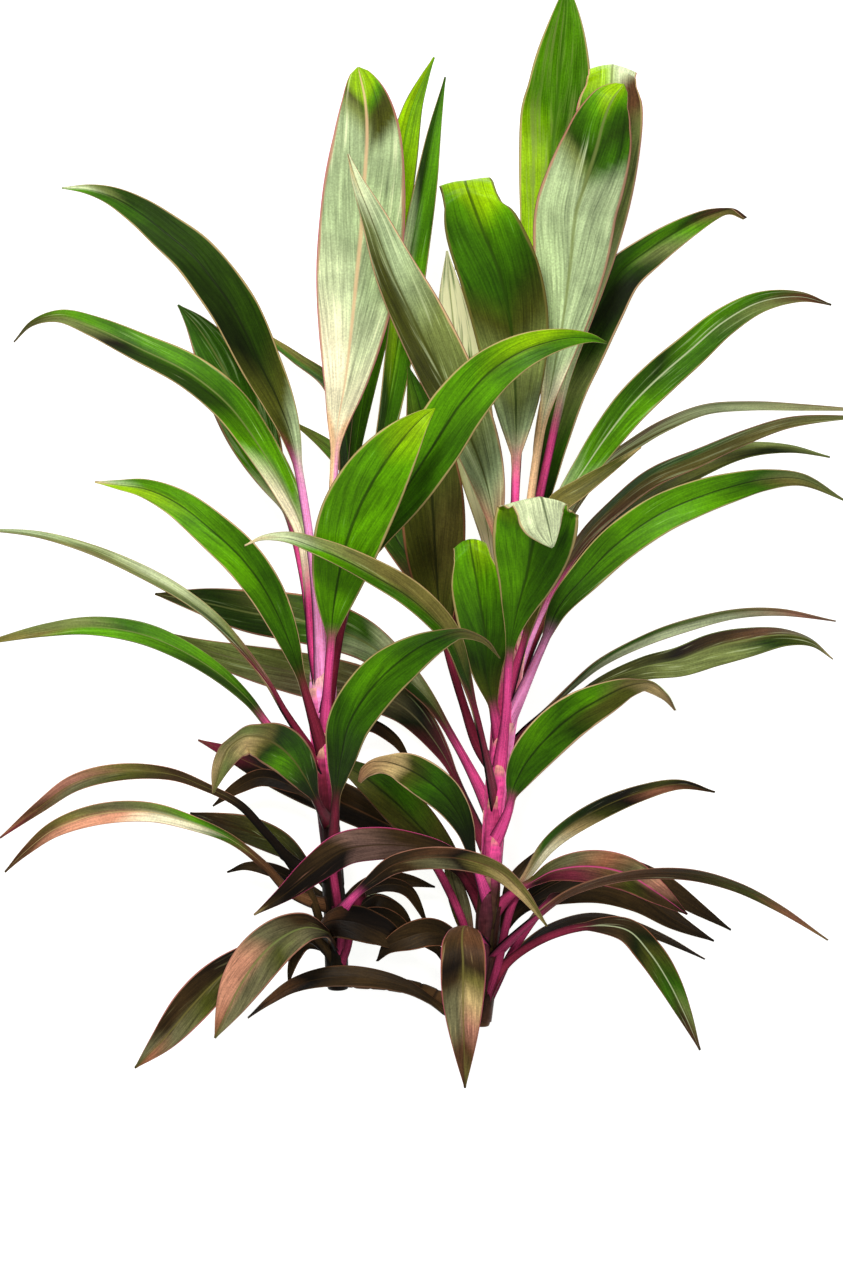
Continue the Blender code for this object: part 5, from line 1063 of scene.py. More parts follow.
def tube_faces(count_along: int, sides: int) -> list:
    """The quads of a tube, and a face with many sides at each end, last.

    Args:
        count_along: rings of the tube.
        sides: points of a ring.

    Returns:
        Faces as lists of indices.
    """
    i, j = np.meshgrid(np.arange(count_along - 1), np.arange(sides), indexing="ij")
    a = (i * sides + j).ravel()
    b = (i * sides + (j + 1) % sides).ravel()
    faces = np.column_stack((a, b, b + sides, a + sides)).tolist()
    faces.append(list(range(sides - 1, -1, -1)))
    faces.append(list(range((count_along - 1) * sides, count_along * sides)))
    return faces


def painted(rows: tuple, place_along: Array, right: Array) -> Array:
    """Colours read from a paint's rows.

    Formula: each half's colour is interpolated along the leaf, and the two halves are mixed by
    how far to the right a point lies.

    Args:
        rows: rows of a place, a colour and perhaps a second colour.
        place_along: the place of each grid point.
        right: 0 on the left half and 1 on the right half, for each grid point.

    Returns:
        Linear colours, one for each grid point.
    """
    places = [row[0] for row in rows]
    halves = []
    for colours in ([row[1].linear for row in rows], [row[-1].linear for row in rows]):
        table = np.array(colours)
        channels = [np.interp(place_along, places, table[:, k]) for k in range(3)]
        halves.append(np.stack(channels, axis=-1))
    return halves[0] * (1.0 - right[..., None]) + halves[1] * right[..., None]


@dataclass
class MeshParts:
    """What a mesh piece is made from."""
    points: Array
    faces: list
    smooth_faces: Array
    uv: Array
    colours: dict = field(default_factory=dict)

    def build(self, name: str, material: bpy.types.Material) -> bpy.types.Object:
        """The object, with its UV layer and colour attributes.

        Args:
            name: the object's name.
            material: its material.

        Returns:
            The object, in the scene.
        """
        mesh = bpy.data.meshes.new(name)
        mesh.from_pydata(self.points.tolist(), [], self.faces)
        mesh.polygons.foreach_set("use_smooth", self.smooth_faces)
        corner = np.empty(len(mesh.loops), dtype=np.int32)
        mesh.loops.foreach_get("vertex_index", corner)
        layer = mesh.uv_layers.new(name=UV_NAME)
        layer.data.foreach_set("uv", self.uv[corner].astype(np.float32).ravel())
        for key, values in self.colours.items():
            attribute = mesh.attributes.new(key, "FLOAT_COLOR", "POINT")
            attribute.data.foreach_set("color", values.astype(np.float32).ravel())
        mesh.materials.append(material)
        mesh.update()
        item = bpy.data.objects.new(name, mesh)
        bpy.context.scene.collection.objects.link(item)
        return item


@dataclass
class LeafPiece:
    """One leaf: a fine painted surface in the place of its CAD solid, if it has one."""
    leaf: Leaf
    stem: Stem
    node: bpy.types.Object | None
    grain: float                 # where its noise is read
    along: int = 88              # panels along the fine surface
    across: int = 16             # and across it
    thick: float = 0.7           # its thickness, as a part of the CAD solid's
    match: float = 5e-5          # a CAD corner this close to a station is that station's own
    crown: float = 0.03          # the top is pressed into its CAD height within this
    sheath_width: float = 0.0032  # how much wider each side is where it clasps the cane
    sheath_length: float = 0.2   # part of the leaf along which the clasping foot narrows
    stalk_fade: float = 0.1      # the stalk's colour turns into the blade's over this part
    lag: float = 0.05            # rows of paint lie this much farther along at the edges
    half_step: float = 1.4       # how sharply the left half's colour turns into the right's
    stalk_painted_light: float = 1.4    # painted light along the middle of the stalk
    stalk_painted_side_shade: float = 1.1     # how much of it painted shade takes at both sides
    stalk_painted_light_lean: float = 0.3      # and how far the painted light leans to the left side
    rib_strength: float = 0.75
    edge_strength: float = 0.8

    def read_lift(self, spine: Spine) -> tuple:
        """How far each of the CAD solid's stations was lifted, read from its corners.

        Formula: at a station, the height of every CAD corner that lies straight over one of its
        points less that point's own height; the value that most of them agree on is the lift.

        Args:
            spine: the leaf's spine.

        Returns:
            The stations and their lifts.
        """
        if not self.node:
            return spine.along, np.zeros_like(spine.along)
        count = int(np.clip(round(spine.length / PANEL_LENGTH), FEWEST_PANELS, MOST_PANELS))
        rows = WIDE_ROWS if self.leaf.width / 1000.0 > WIDE_BLADE else NARROW_ROWS
        stations = spine.stations(count)
        places = np.linspace(-1.0, 1.0, rows)
        middle, half_thick, out_way = leaf_grid(self.leaf, spine, stations, places)
        offset = half_thick[..., None] * out_way
        both = np.concatenate((middle + offset, middle - offset), axis=1)
        corners = corners_of(self.node)
        flat = both[:, :, None, :2] - corners[None, None, :, :2]
        near = np.hypot(flat[..., 0], flat[..., 1]) < self.match
        rise = corners[None, None, :, 2] - both[:, :, None, 2]
        known, lifts = [], []
        for i in range(count + 1):
            found = rise[i][near[i]]
            if found.size:
                agree = (np.abs(found[:, None] - found[None, :]) < self.match).sum(axis=1)
                known.append(stations[i])
                lifts.append(found[agree.argmax()])
        return np.array(known), np.array(lifts)

    def colours(self, u: Array, v: Array, seen: bool, light: Array) -> dict:
        """Colour attributes of one side, with strengths in their alpha.

        Formula: the blade's rows of paint and the stalk's colour, with painted light along its
        middle and painted shade at its sides by a square of u, mixed by a soft step at the neck.
        All but the midrib are times the light.

        Args:
            u: place across of each grid point.
            v: place along of each grid point.
            seen: whether this is the side that the eye sees.
            light: how much light reaches each grid point.

        Returns:
            Arrays of red, green, blue and strength by attribute name.
        """
        paint = PAINTS.get(self.leaf.name, SHADED_PAINT)
        is_blade = smooth((v - self.leaf.neck + 0.5 * self.stalk_fade) / self.stalk_fade)
        lagged = v - self.lag * np.abs(u) * is_blade
        right = smooth(0.5 - self.half_step * u * self.leaf.facing.value)
        blade = painted(paint.seen if seen else ((0.0, paint.back),), lagged, right)
        stalk = painted(((0.0, paint.stalk, paint.stalk_right or paint.stalk),), lagged, right)
        # Painted light and shade round the stalk: lighter along its middle and to the left, darker
        # at its sides.
        painted_round_light = self.stalk_painted_light - self.stalk_painted_side_shade * u ** 2 - self.stalk_painted_light_lean * u
        base = (blade * is_blade[..., None]
                + (stalk * painted_round_light[..., None]) * (1.0 - is_blade[..., None]))
        even = np.ones_like(v)
        layers = {
            "paint": (base, light, self.grain * even),
            "rib": (paint.rib.linear, even, self.rib_strength * is_blade),
            "edge": (paint.edge.linear, light, self.edge_strength * is_blade),
            "line": (paint.line.linear, light, self.edge_strength * is_blade),
            "bands": (paint.bands.linear, light, paint.streak * is_blade),
        }
        return {key: np.concatenate((colour * share[..., None], strength[..., None]), axis=-1)
                for key, (colour, share, strength) in layers.items()}

    def build(self, material: bpy.types.Material) -> bpy.types.Object:
        """The leaf's object, riding on the root in place of its CAD node.

        Args:
            material: the look of its slot.

        Returns:
            The object, in the scene.
        """
        spine = Spine(self.leaf, self.stem)
        stations, lifts = self.read_lift(spine)
        along = spine.stations(self.along)
        across = np.linspace(-1.0, 1.0, self.across + 1)
        middle, half_thick, out_way = leaf_grid(self.leaf, spine, along, across, fine=True)
        middle += self.sheath(spine, along, across)
        middle += spine.drop(self.leaf.name, along, across)
        middle[..., 2] += np.interp(along, stations, lifts)[:, None]
        offset = self.thick * half_thick[..., None] * out_way
        sides = np.stack((middle + offset, middle - offset))
        sides[..., 2] += self.into_height(sides[..., 2].min(axis=0), sides[..., 2].max(axis=0))
        faces = sheet_faces(self.along, self.across)
        v, u = np.meshgrid(along, across, indexing="ij")
        upper_seen = self.leaf.facing is Facing.UPPER
        light = self.stem.light(middle)
        paints = [self.colours(u, v, seen, light) for seen in (upper_seen, not upper_seen)]
        uv = np.column_stack((0.5 + 0.5 * u.ravel(), v.ravel()))
        parts = MeshParts(
            points=sides.reshape(-1, 3),
            faces=faces.tolist(),
            smooth_faces=np.arange(len(faces)) < 2 * self.along * self.across,
            uv=np.vstack((uv, uv)),
            colours={key: np.stack([paint[key] for paint in paints]).reshape(-1, 4)
                     for key in paints[0]})
        item = parts.build(self.leaf.name + "_blade", material)
        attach(item, "root")
        if self.node:
            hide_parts(self.leaf.name)
        return item

    def into_height(self, low: Array, high: Array) -> Array:
        """How far each place is moved to stay over the floor and under the CAD solid's top.

        Formula: up by what is below 0, and down by what the highest place has over the CAD's
        top, times the soft step over the crown's height.

        Args:
            low: height of the lower side of each place.
            high: height of the upper side.

        Returns:
            The move upwards of each place.
        """
        raised = np.maximum(0.0, -low)
        if not self.node:
            return raised
        top = corners_of(self.node)[:, 2].max()
        excess = max(0.0, high.max() - top)
        return raised - excess * smooth((high - top + self.crown) / self.crown)

    def sheath(self, spine: Spine, along: Array, across: Array) -> Array:
        """Offset that widens the foot where it clasps the cane.

        Formula: u times the sheath's width, fading with the soft step along the foot.

        Args:
            spine: the leaf's spine.
            along: places v along it.
            across: places u across it.

        Returns:
            The offset (v, u, 3).
        """
        share = 1.0 - smooth(along / self.sheath_length)
        side_way = unit(spine.at(spine.across, along))[:, None, :]
        return self.sheath_width * share[:, None, None] * across[None, :, None] * side_way


@dataclass
class StemPiece:
    """A cane or the rootstock: a fine tube with rings where old leaves stood."""
    name: str
    stem: Stem
    paint: tuple
    scar: Hue
    scar_gap: float
    scar_height: float
    scar_width: float = 0.0013
    scars_from: float = 0.35    # scars show their colour from this part of the length
    scars_step: float = 0.15    # and fully after so much more of it
    sides: int = 40
    per_span: int = 20          # rings between two of the stem's points

    def build(self, material: bpy.types.Material, slot: str) -> bpy.types.Object:
        """The stem's object, in place of its CAD node.

        Formula: a circle round a smooth curve through the stem's points, its radius drawn in by
        a narrow groove at each scar.

        Args:
            material: the look of its slot.
            slot: the slot's name; not used.

        Returns:
            The object, in the scene.
        """
        line = curve_through(self.stem.points, self.per_span)
        travelled = run_of(line)
        knots = [np.linalg.norm(line - point, axis=1).argmin() for point in self.stem.points]
        radius = np.interp(travelled, travelled[knots], self.stem.radii)
        phase = travelled / self.scar_gap
        groove = np.exp(-((phase - np.round(phase)) * self.scar_gap / self.scar_width) ** 2)
        radius = radius - self.scar_height * groove
        tangent = unit(np.gradient(line, travelled, axis=0))
        side = unit(np.cross(np.array((0.0, 0.0, 1.0)), tangent))
        out = np.cross(tangent, side)
        angle = np.arange(self.sides) * 2.0 * np.pi / self.sides
        ring = np.cos(angle)[:, None] * side[:, None, :] + np.sin(angle)[:, None] * out[:, None, :]
        points = (line[:, None, :] + radius[:, None, None] * ring).reshape(-1, 3)
        faces = tube_faces(len(line), self.sides)
        share = np.repeat(travelled / travelled[-1], self.sides)
        base = painted(self.paint, share, np.zeros_like(share))
        shown = smooth((share - self.scars_from) / self.scars_step) * np.repeat(groove, self.sides)
        base = base + shown[:, None] * (self.scar.linear - base)
        parts = MeshParts(
            points=points,
            faces=faces,
            smooth_faces=np.arange(len(faces)) < len(faces) - 2,
            uv=np.column_stack((np.tile(angle / (2.0 * np.pi), len(line)), share)),
            colours={"paint": np.column_stack((base, np.ones(len(base))))})
        item = parts.build(self.name + "_bark", material)
        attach(item, "root")
        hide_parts(self.name)
        return item


@dataclass
class ClaspPiece:
    """The leaf bases that wrap one cane below its leaves, as a single piece."""
    name: str
    stem: Stem
    leaves: list
    paint: tuple
    own_from: float             # place along the cane where the leaves' own colour starts to come out of painted shade
    own_step: float = 0.14      # and is full after so much more of it
    own_in_painted_shade: float = 0.12     # what is left of it below, in painted shade
    length: float = 0.085       # a base runs this far down the cane
    top: float = 0.012          # and starts this far above the leaf's foot
    half_angle: float = 1.05    # half of the angle that it wraps, radians
    top_angle: float = 0.6      # part of that at its top
    top_length: float = 0.3     # part of its length after which it wraps the whole of it
    foot_loss: float = 0.6      # part of the angle that is gone at its foot
    rise: float = 0.0024        # height of its middle over the bark
    over: float = 0.0003        # and of its rim
    under: float = 0.0005       # its inner side is this deep in the bark
    front: float = 0.8          # less than 1 draws the bases towards the front of the cane
    read_at: float = 0.12       # where a leaf's direction is read, as a part of its length
    cane_least: float = 0.3     # part of the cane's own colour at the top of a base
    middle_painted_light: float = 1.25  # painted light along its middle
    side_painted_shade: float = 1.05     # and how much of that painted shade takes at its sides
    rim: tuple = (0.05, 0.07)   # the pale rim at its top fades after this part, over this part
    rim_from: tuple = (0.3, 0.1)  # rims show from this place along the cane, over this part
    rim_strength: float = 0.7
    along: int = 14             # panels along a base
    across: int = 8             # panels across it
    patch: float = 0.4          # part of the bark's pattern that a base shows
    patch_step: float = 0.37    # moves the pattern on from each base to the next

    def base(self, leaf: Leaf) -> tuple:
        """One base: both its sides and its colours.

        Formula: round the cane's middle line, at an angle of the leaf's own direction plus u
        times the half angle and at the cane's radius plus a rise of 1 - u^2. The half angle and
        the rise both shrink downwards. The leaf's own colour darkens with painted shade low on the
        cane and turns into the cane's downwards, with painted light along the middle and painted
        shade at both sides.

        Args:
            leaf: the leaf that grows from the base.

        Returns:
            The outer and inner grid (2, v, u, 3) and the linear colours (v, u, 3).
        """
        spine = Spine(leaf, self.stem)
        start = spine.at(spine.points, np.array([self.read_at]))[0]
        middle_x, middle_z, _ = self.stem.at_level(start[1])
        turn = math.atan2(start[2] - middle_z, start[0] - middle_x) - 0.5 * math.pi
        facing = 0.5 * math.pi + self.front * math.remainder(turn, 2.0 * math.pi)
        v, u = np.meshgrid(np.linspace(0.0, 1.0, self.along + 1),
                           np.linspace(-1.0, 1.0, self.across + 1), indexing="ij")
        foot, tip = self.stem.points[0, 1], self.stem.points[-1, 1]
        drawn = spine.points[0, 1] + self.top - (self.top + self.length) * v
        level = np.maximum(drawn, foot + self.rise)
        across, height, radius = self.stem.at_level(level)
        wrap = self.top_angle + (1.0 - self.top_angle) * smooth(v / self.top_length)
        angle = facing + u * self.half_angle * wrap * (1.0 - self.foot_loss * smooth(v))
        rise = self.rise * (1.0 - v) * (1.0 - u ** 2)
        grids = [np.stack((across + reach * np.cos(angle), level, height + reach * np.sin(angle)),
                          axis=-1)
                 for reach in (radius + rise + self.over, radius - self.under)]
        share = (level - foot) / (tip - foot)
        cane = painted(self.paint, share, np.zeros_like(share))
        # Painted shade: the leaf's own colour darkens low on the cane.
        own = self.own_in_painted_shade + (1.0 - self.own_in_painted_shade) * smooth(
            (share - self.own_from) / self.own_step)
        own = own[..., None] * PAINTS.get(leaf.name, SHADED_PAINT).stalk.linear
        cane_share = (self.cane_least + (1.0 - self.cane_least) * v)[..., None]
        mixed = own + cane_share * (cane - own)
        # Painted light along the middle of each base and painted shade at its sides.
        mixed = mixed * (self.middle_painted_light - self.side_painted_shade * u ** 4)[..., None]
        rim = 1.0 - smooth((v - self.rim[0]) / self.rim[1])
        rim = rim * smooth((share - self.rim_from[0]) / self.rim_from[1])
        mixed = mixed + self.rim_strength * rim[..., None] * (PEACH.linear - mixed)
        return np.stack(grids), mixed

    def build(self, material: bpy.types.Material) -> bpy.types.Object:
        """All bases of the cane as one object.

        Args:
            material: the look of the bark.

        Returns:
            The object, in the scene.
        """
        bases = [self.base(leaf) for leaf in self.leaves]
        faces = sheet_faces(self.along, self.across)
        size = 2 * (self.along + 1) * (self.across + 1)
        v, u = np.meshgrid(np.linspace(0.0, 1.0, self.along + 1),
                           np.linspace(0.0, self.patch, self.across + 1), indexing="ij")
        uv = np.column_stack((u.ravel(), v.ravel()))
        paint = np.stack([(colour, colour) for _, colour in bases]).reshape(-1, 3)
        parts = MeshParts(
            points=np.stack([grids for grids, _ in bases]).reshape(-1, 3),
            faces=np.vstack([faces + size * i for i in range(len(bases))]).tolist(),
            smooth_faces=np.ones(len(faces) * len(bases), dtype=bool),
            uv=np.vstack([uv + (self.patch_step * i, 0.0) for i in range(2 * len(bases))]),
            colours={"paint": np.column_stack((paint, np.ones(len(paint))))})
        item = parts.build(self.name, material)
        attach(item, "root")
        return item


class ShaderNet:
    """Short calls that add shader nodes and wire them into one material.

    A value is a socket or a plain number or colour.
    """

    def __init__(self, name: str) -> None:
        """Starts a material.

        Args:
            name: the material's name.
        """
        self.material = bpy.data.materials.new(name)
        self.material.use_nodes = True
        self.tree = self.material.node_tree
        self.shader = self.tree.nodes["Principled BSDF"]

    def put(self, socket: Socket, value: object) -> None:
        """A link to the socket, or its own constant.

        Args:
            socket: the socket that is fed.
            value: another socket, or a plain value.
        """
        if isinstance(value, Socket):
            self.tree.links.new(value, socket)
        else:
            socket.default_value = value

    def node(self, kind: str, values: dict, **settings: object) -> bpy.types.Node:
        """A new node.

        Args:
            kind: its type, after the word ShaderNode.
            values: its inputs by name or number.
            settings: its other settings.

        Returns:
            The node.
        """
        node = self.tree.nodes.new("ShaderNode" + kind)
        for key, value in settings.items():
            setattr(node, key, value)
        for key, value in values.items():
            self.put(node.inputs[key], value)
        return node

    def math(self, operation: str, first: object, second: object = 0.0) -> Socket:
        """One sum of two values."""
        return self.node("Math", {0: first, 1: second}, operation=operation).outputs[0]

    def total(self, base: object, *terms: tuple) -> Socket:
        """A base plus values times weights.

        Args:
            base: the value to start from.
            terms: pairs of a value and its weight.

        Returns:
            The sum.
        """
        for value, weight in terms:
            base = self.math("ADD", base, self.math("MULTIPLY", value, weight))
        return base

    def product(self, first: object, *others: object) -> Socket:
        """All values multiplied.

        Args:
            first: the first of them.
            others: the rest.

        Returns:
            Their product.
        """
        for other in others:
            first = self.math("MULTIPLY", first, other)
        return first

    def step(self, value: object, ends: tuple) -> Socket:
        """A soft step from 0 at the first end to 1 at the second."""
        values = {"Value": value, "From Min": ends[0], "From Max": ends[1]}
        return self.node("MapRange", values, interpolation_type="SMOOTHSTEP").outputs["Result"]

    def mix(self, share: object, first: object, second: object) -> Socket:
        """A mix of two colours, which are inputs 6 and 7 and output 2 of its node."""
        return self.node("Mix", {0: share, 6: first, 7: second}, data_type="RGBA").outputs[2]

    def scaled(self, colour: object, amount: object) -> Socket:
        """A colour made brighter or darker by an amount."""
        return self.node("VectorMath", {0: colour, "Scale": amount}, operation="SCALE").outputs[0]

    def attribute(self, name: str) -> tuple:
        """Colour and strength of a colour attribute."""
        node = self.node("Attribute", {}, attribute_name=name)
        return node.outputs["Color"], node.outputs["Alpha"]

    def uv(self) -> tuple:
        """Places across and along, from the piece's own UV layer."""
        parts = self.node("SeparateXYZ", {0: self.node("UVMap", {}, uv_map=UV_NAME).outputs["UV"]})
        return parts.outputs["X"], parts.outputs["Y"]

    def noise(self, x: object, y: object, z: object, detail: float) -> Socket:
        """Soft noise read at a point of three coordinates."""
        point = self.node("CombineXYZ", {0: x, 1: y, 2: z}).outputs[0]
        return self.node("TexNoise", {"Vector": point, "Scale": 1.0, "Detail": detail}).outputs[0]

    def grains(self, scale: float, detail: float = 2.0) -> Socket:
        """Soft noise in space, with so many grains for each metre."""
        spot = self.node("TexCoord", {}).outputs["Object"]
        return self.node("TexNoise", {"Vector": spot, "Scale": scale, "Detail": detail}).outputs[0]

    def finish(self, colour: object, roughness: object, specular: float) -> None:
        """Sets the shader's colour, roughness and gloss."""
        self.dress({"Base Color": colour, "Roughness": roughness, "Specular IOR Level": specular})

    def dress(self, values: dict) -> None:
        """Sets inputs of the shader by name."""
        for key, value in values.items():
            self.put(self.shader.inputs[key], value)

    def bump(self, height: object, strength: float, distance: float) -> None:
        """Relief on the shader's normal."""
        node = self.node("Bump", {"Height": height, "Strength": strength, "Distance": distance})
        self.dress({"Normal": node.outputs["Normal"]})


@dataclass(frozen=True)
class LeafFinish:
    """How the blades of one slot reflect light, and how their veins and bands lie."""
    name: str
    roughness: float
    rough_spread: float = 0.12   # how far the fine veins change it
    specular: float = 0.1
    halves_apart: float = 7.0    # keeps the pattern of one half apart from the other's
    vein_slant: float = 1.6      # veins leave the midrib by this much of a half width per length
    fine: tuple = (26.0, 13.0, 4.0)   # fine veins across half a blade, along it, and their detail
    broad: tuple = (6.0, 6.0, 2.0)    # the same for broad bands
    fine_share: float = 0.55     # part of light and dark that the fine veins bring
    vein_contrast: float = 3.0
    vein_depth: float = 0.0008
    vein_relief: float = 0.5
    specks: float = 520.0        # specks for each metre
    speckle: float = 0.8         # how much light and dark they bring
    dapples: float = 24.0        # soft patches of sun and shade for each metre
    dapple: float = 0.16         # how much light the shade takes
    dapple_gain: float = 1.4     # the sun gives back so many times that
    dapple_ends: tuple = (0.4, 0.6)
    band_fine: float = 0.3       # part of the pale bands that the fine veins shape
    band_level: tuple = (0.68, 0.36)  # level that bands rise above, less so much of the streak
    band_ends: tuple = (-0.04, 0.14)  # a band fades in between these heights over that level
    band_least: tuple = (0.0, 0.05)   # a streak weaker than this fades out
    band_strength: float = 0.75
    rib_ends: tuple = (0.015, 0.075)  # the midrib fades between these parts of the half width
    rib_relief: float = 0.8
    ragged: float = 0.1          # how far the coloured edge wanders
    edge_ends: tuple = (0.915, 0.95)  # it fades in between these parts of the half width
    line_ends: tuple = (0.98, 0.992)  # and the thin line on it between these

    def material(self) -> bpy.types.Material:
        """Painted blade with slanting veins, specks, painted patches of sun and shade, pale bands,
        a midrib and an edge.

        Returns:
            The material.
        """
        net = ShaderNet(self.name)
        across, along = net.uv()
        signed = net.total(-1.0, (across, 2.0))
        away = net.math("ABSOLUTE", signed)
        half = net.product(net.math("SIGN", signed), self.halves_apart)
        paint, grain = net.attribute("paint")
        vein = net.total(away, (along, -self.vein_slant))
        fine, broad = [net.noise(net.total(half, (vein, wide)), net.product(along, long), grain,
                                 detail)
                       for wide, long, detail in (self.fine, self.broad)]
        veined = net.total(0.0, (fine, self.fine_share), (broad, 1.0 - self.fine_share))
        bright = net.total(1.0 - 0.5 * self.vein_contrast, (veined, self.vein_contrast))
        speck = net.total(1.0 - 0.5 * self.speckle, (net.grains(self.specks), self.speckle))
        # Painted patches of sun and shade over the blade.
        sun = net.step(net.grains(self.dapples), self.dapple_ends)
        sunny = net.total(1.0 - self.dapple, (sun, self.dapple_gain * self.dapple))
        colour = net.scaled(paint, net.product(bright, speck, sunny))
        band_paint, streak = net.attribute("bands")
        pattern = net.total(-self.band_level[0], (streak, self.band_level[1]),
                            (broad, 1.0 - self.band_fine), (fine, self.band_fine))
        bands = net.product(net.step(pattern, self.band_ends), net.step(streak, self.band_least),
                            self.band_strength)
        colour = net.mix(bands, colour, band_paint)
        rib = net.total(1.0, (net.step(away, self.rib_ends), -1.0))
        wander = net.total(-0.5 * self.ragged, (broad, self.ragged))
        edge = net.step(net.math("ADD", away, wander), self.edge_ends)
        line = net.step(away, self.line_ends)
        for key, cover in (("rib", rib), ("edge", edge), ("line", line)):
            layer, strength = net.attribute(key)
            colour = net.mix(net.product(cover, strength), colour, layer)
        rough = net.total(self.roughness - 0.5 * self.rough_spread, (fine, self.rough_spread))
        net.finish(colour, rough, self.specular)
        net.bump(net.total(fine, (rib, -self.rib_relief)), self.vein_relief, self.vein_depth)
        return net.material


@dataclass(frozen=True)
class BarkFinish:
    """How a stem's bark looks."""
    name: str
    roughness: float
    mottle: float
    depth: float
    relief: float = 0.6
    specular: float = 0.1
    fibres: tuple = (46.0, 9.0, 0.0, 3.0)    # fibres round and along, their place and detail
    blotches: tuple = (6.0, 22.0, 4.0, 2.0)  # the same for blotches

    def material(self) -> bpy.types.Material:
        """Painted bark with fine fibres along it and soft mottling.

        Returns:
            The material.
        """
        net = ShaderNet(self.name)
        around, along = net.uv()
        paint, _ = net.attribute("paint")
        fibre, blotch = [net.noise(net.product(around, wide), net.product(along, long), spot,
                                   detail)
                         for wide, long, spot, detail in (self.fibres, self.blotches)]
        both = net.total(0.0, (fibre, 0.5), (blotch, 0.5))
        bright = net.total(1.0 - 0.5 * self.mottle, (both, self.mottle))
        net.finish(net.scaled(paint, bright), self.roughness, self.specular)
        net.bump(both, self.relief, self.depth)
        return net.material


@dataclass(frozen=True)
class Lamp:
    """One soft square light that looks at the clump's middle."""
    name: str
    place: tuple
    size: float
    power: float
    colour: tuple = (1.0, 1.0, 1.0)

    def build(self) -> bpy.types.Object:
        """The light's object.

        Returns:
            The object, in the scene.
        """
        data = bpy.data.lights.new(self.name, "AREA")
        data.size = self.size
        data.energy = self.power
        data.color = self.colour
        item = bpy.data.objects.new(self.name, data)
        item.location = self.place
        item.rotation_euler = look_along(np.array((0.0, 0.0, CANE_HEIGHT)) - self.place)
        bpy.context.scene.collection.objects.link(item)
        return item


def look_along(way: Array) -> tuple:
    """Turns that point an object's -Z axis along a direction.

    Args:
        way: the direction.

    Returns:
        Its turns about X, Y and Z, in radians.
    """
    way = unit(way)
    tilt = math.acos(float(np.clip(-way[2], -1.0, 1.0)))
    return (tilt, 0.0, math.atan2(-way[0], way[1]))


@dataclass
class Studio:
    """The floor, the air, the lights and the camera."""
    floor_size: float = 60.0
    floor_drop: float = 0.0006   # the floor lies this far under the resting spots
    floor_tone: float = 0.45
    floor_glow: float = 0.84
    floor_roughness: float = 0.9
    air: float = 0.36
    sensor: float = 36.0         # width of the camera's sensor, mm
    farthest: float = 50.0       # the camera sees so far
    white: tuple = (1.0, 1.0, 1.0, 1.0)
    lamps: tuple = (
        Lamp("key", (-0.7, 2.0, 3.0), 0.9, 112.0, (1.0, 0.98, 0.94)),
        Lamp("fill", (1.4, -1.8, 2.4), 2.4, 14.0),
    )

    def floor(self) -> bpy.types.Object:
        """A pale plain floor under the clump.

        Returns:
            The floor's object.
        """
        half = 0.5 * self.floor_size
        mesh = bpy.data.meshes.new("floor")
        corners = ((-half, -half), (half, -half), (half, half), (-half, half))
        mesh.from_pydata([(x, y, -self.floor_drop) for x, y in corners], [], [(0, 1, 2, 3)])
        net = ShaderNet("floor_paper")
        tone = (self.floor_tone, self.floor_tone, self.floor_tone, 1.0)
        net.dress({"Base Color": tone, "Roughness": self.floor_roughness,
                   "Emission Color": self.white, "Emission Strength": self.floor_glow})
        mesh.materials.append(net.material)
        item = bpy.data.objects.new("floor", mesh)
        bpy.context.scene.collection.objects.link(item)
        return item

    def surroundings(self) -> None:
        """Even white light from all round."""
        world = bpy.data.worlds.new("air")
        world.use_nodes = True
        background = world.node_tree.nodes["Background"]
        background.inputs["Color"].default_value = self.white
        background.inputs["Strength"].default_value = self.air
        bpy.context.scene.world = world

    def camera(self) -> bpy.types.Object:
        """The eye straight above the photograph's middle, with the photograph's frame.

        Returns:
            The camera's object.
        """
        data = bpy.data.cameras.new("eye")
        distance = EYE_HEIGHT - CANE_HEIGHT
        data.sensor_width = self.sensor
        data.lens = self.sensor * distance / (PHOTO_HEIGHT_PX * PIXEL)
        data.clip_end = self.farthest
        item = bpy.data.objects.new("eye", data)
        item.location = (*ORIGIN_SHIFT, EYE_HEIGHT)
        bpy.context.scene.collection.objects.link(item)
        bpy.context.scene.camera = item
        return item

    def build(self) -> None:
        """Everything round the object."""
        self.floor()
        self.surroundings()
        for lamp in self.lamps:
            lamp.build()
        self.camera()
        bpy.context.scene.view_settings.view_transform = "Standard"


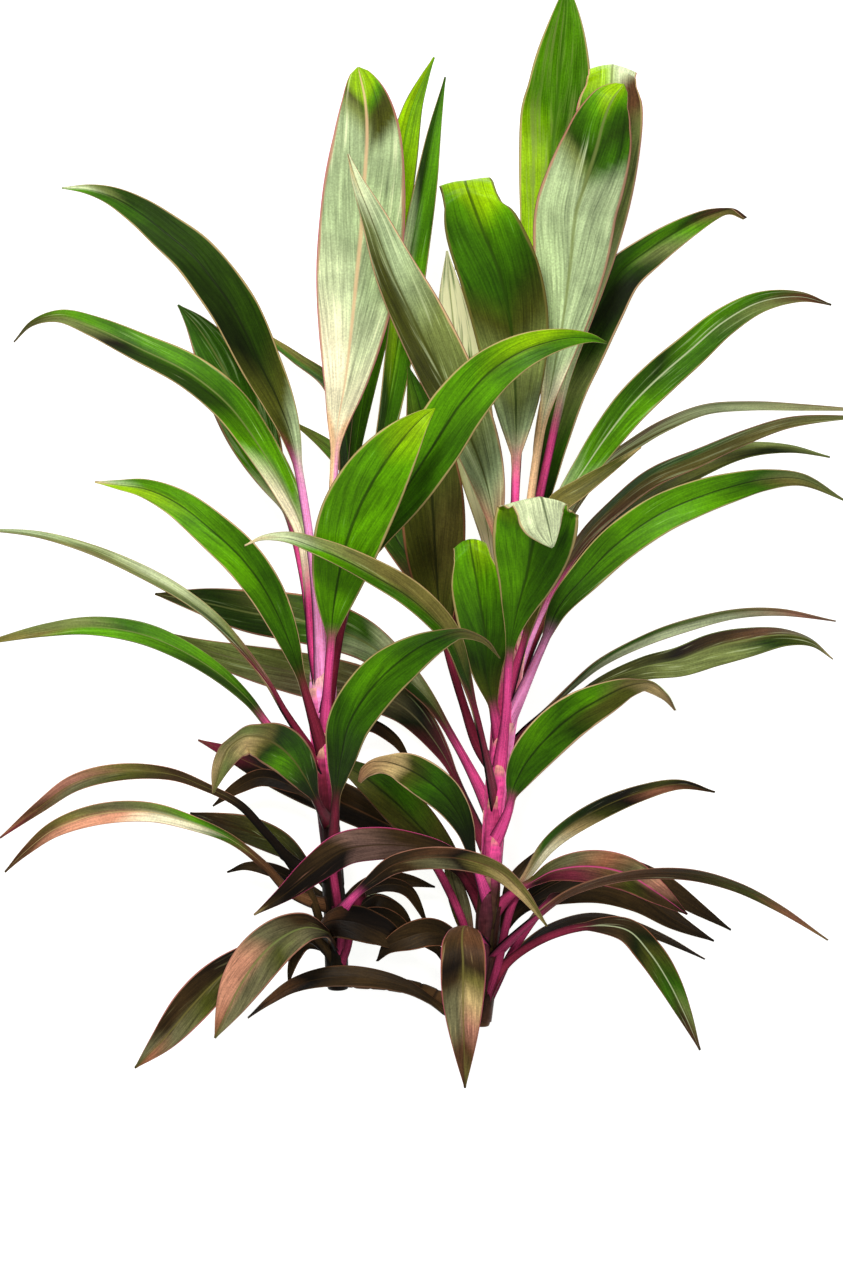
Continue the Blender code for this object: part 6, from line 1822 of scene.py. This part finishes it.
def report(item: bpy.types.Object) -> None:
    """Logs a piece's name and its number of triangles."""
    count = sum(len(face.vertices) - 2 for face in item.data.polygons)
    LOG.info("%s: %d triangles", item.name, count)


def main() -> None:
    """Builds every piece in order and reports it."""
    logging.basicConfig(level=logging.INFO, format="%(message)s")
    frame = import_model()
    blade_looks = {
        Tone.GREEN: LeafFinish("leaf_green_look", roughness=0.42).material(),
        Tone.DARK: LeafFinish("leaf_dark_look", roughness=0.46).material(),
        Tone.BRONZE: LeafFinish("leaf_bronze_look", roughness=0.5).material(),
    }
    cane_look = BarkFinish("cane_look", roughness=0.45, mottle=2.6, depth=0.0008).material()
    root_look = BarkFinish("root_look", roughness=0.8, mottle=0.9, depth=0.001).material()
    right_cane, left_cane, rootstock = Stem(RIGHT_CANE), Stem(LEFT_CANE), Stem(ROOTSTOCK)
    right_stem = StemPiece("cane_right", right_cane, RIGHT_PAINT, PEACH,
                           scar_gap=0.021, scar_height=0.0006)
    left_stem = StemPiece("cane_left", left_cane, LEFT_PAINT, BLUSH,
                          scar_gap=0.021, scar_height=0.0006)
    root = StemPiece("rootstock", rootstock, ROOT_PAINT, BLACK,
                     scar_gap=0.017, scar_height=0.0008)
    right_bases = ClaspPiece("leaf_bases_right", right_cane, RIGHT_LEAVES, RIGHT_PAINT,
                             own_from=0.3)
    left_bases = ClaspPiece("leaf_bases_left", left_cane, LEFT_LEAVES, LEFT_PAINT, own_from=0.52)
    for piece, look, slot in ((right_stem, cane_look, "cane_bark"),
                              (left_stem, cane_look, "cane_bark"),
                              (root, root_look, "root_bark")):
        report(piece.build(look, slot))
    for bases in (right_bases, left_bases):
        report(bases.build(cane_look))
    homes = [(leaf, right_cane) for leaf in RIGHT_LEAVES + SHADED_RIGHT]
    homes += [(leaf, left_cane) for leaf in LEFT_LEAVES + SHADED_LEFT]
    for number, (leaf, stem) in enumerate(homes):
        piece = LeafPiece(leaf, stem, frame["nodes"].get(leaf.name), GRAIN_STEP * number)
        report(piece.build(blade_looks[leaf.tone]))
    Studio().build()


if __name__ == "__main__":
    main()
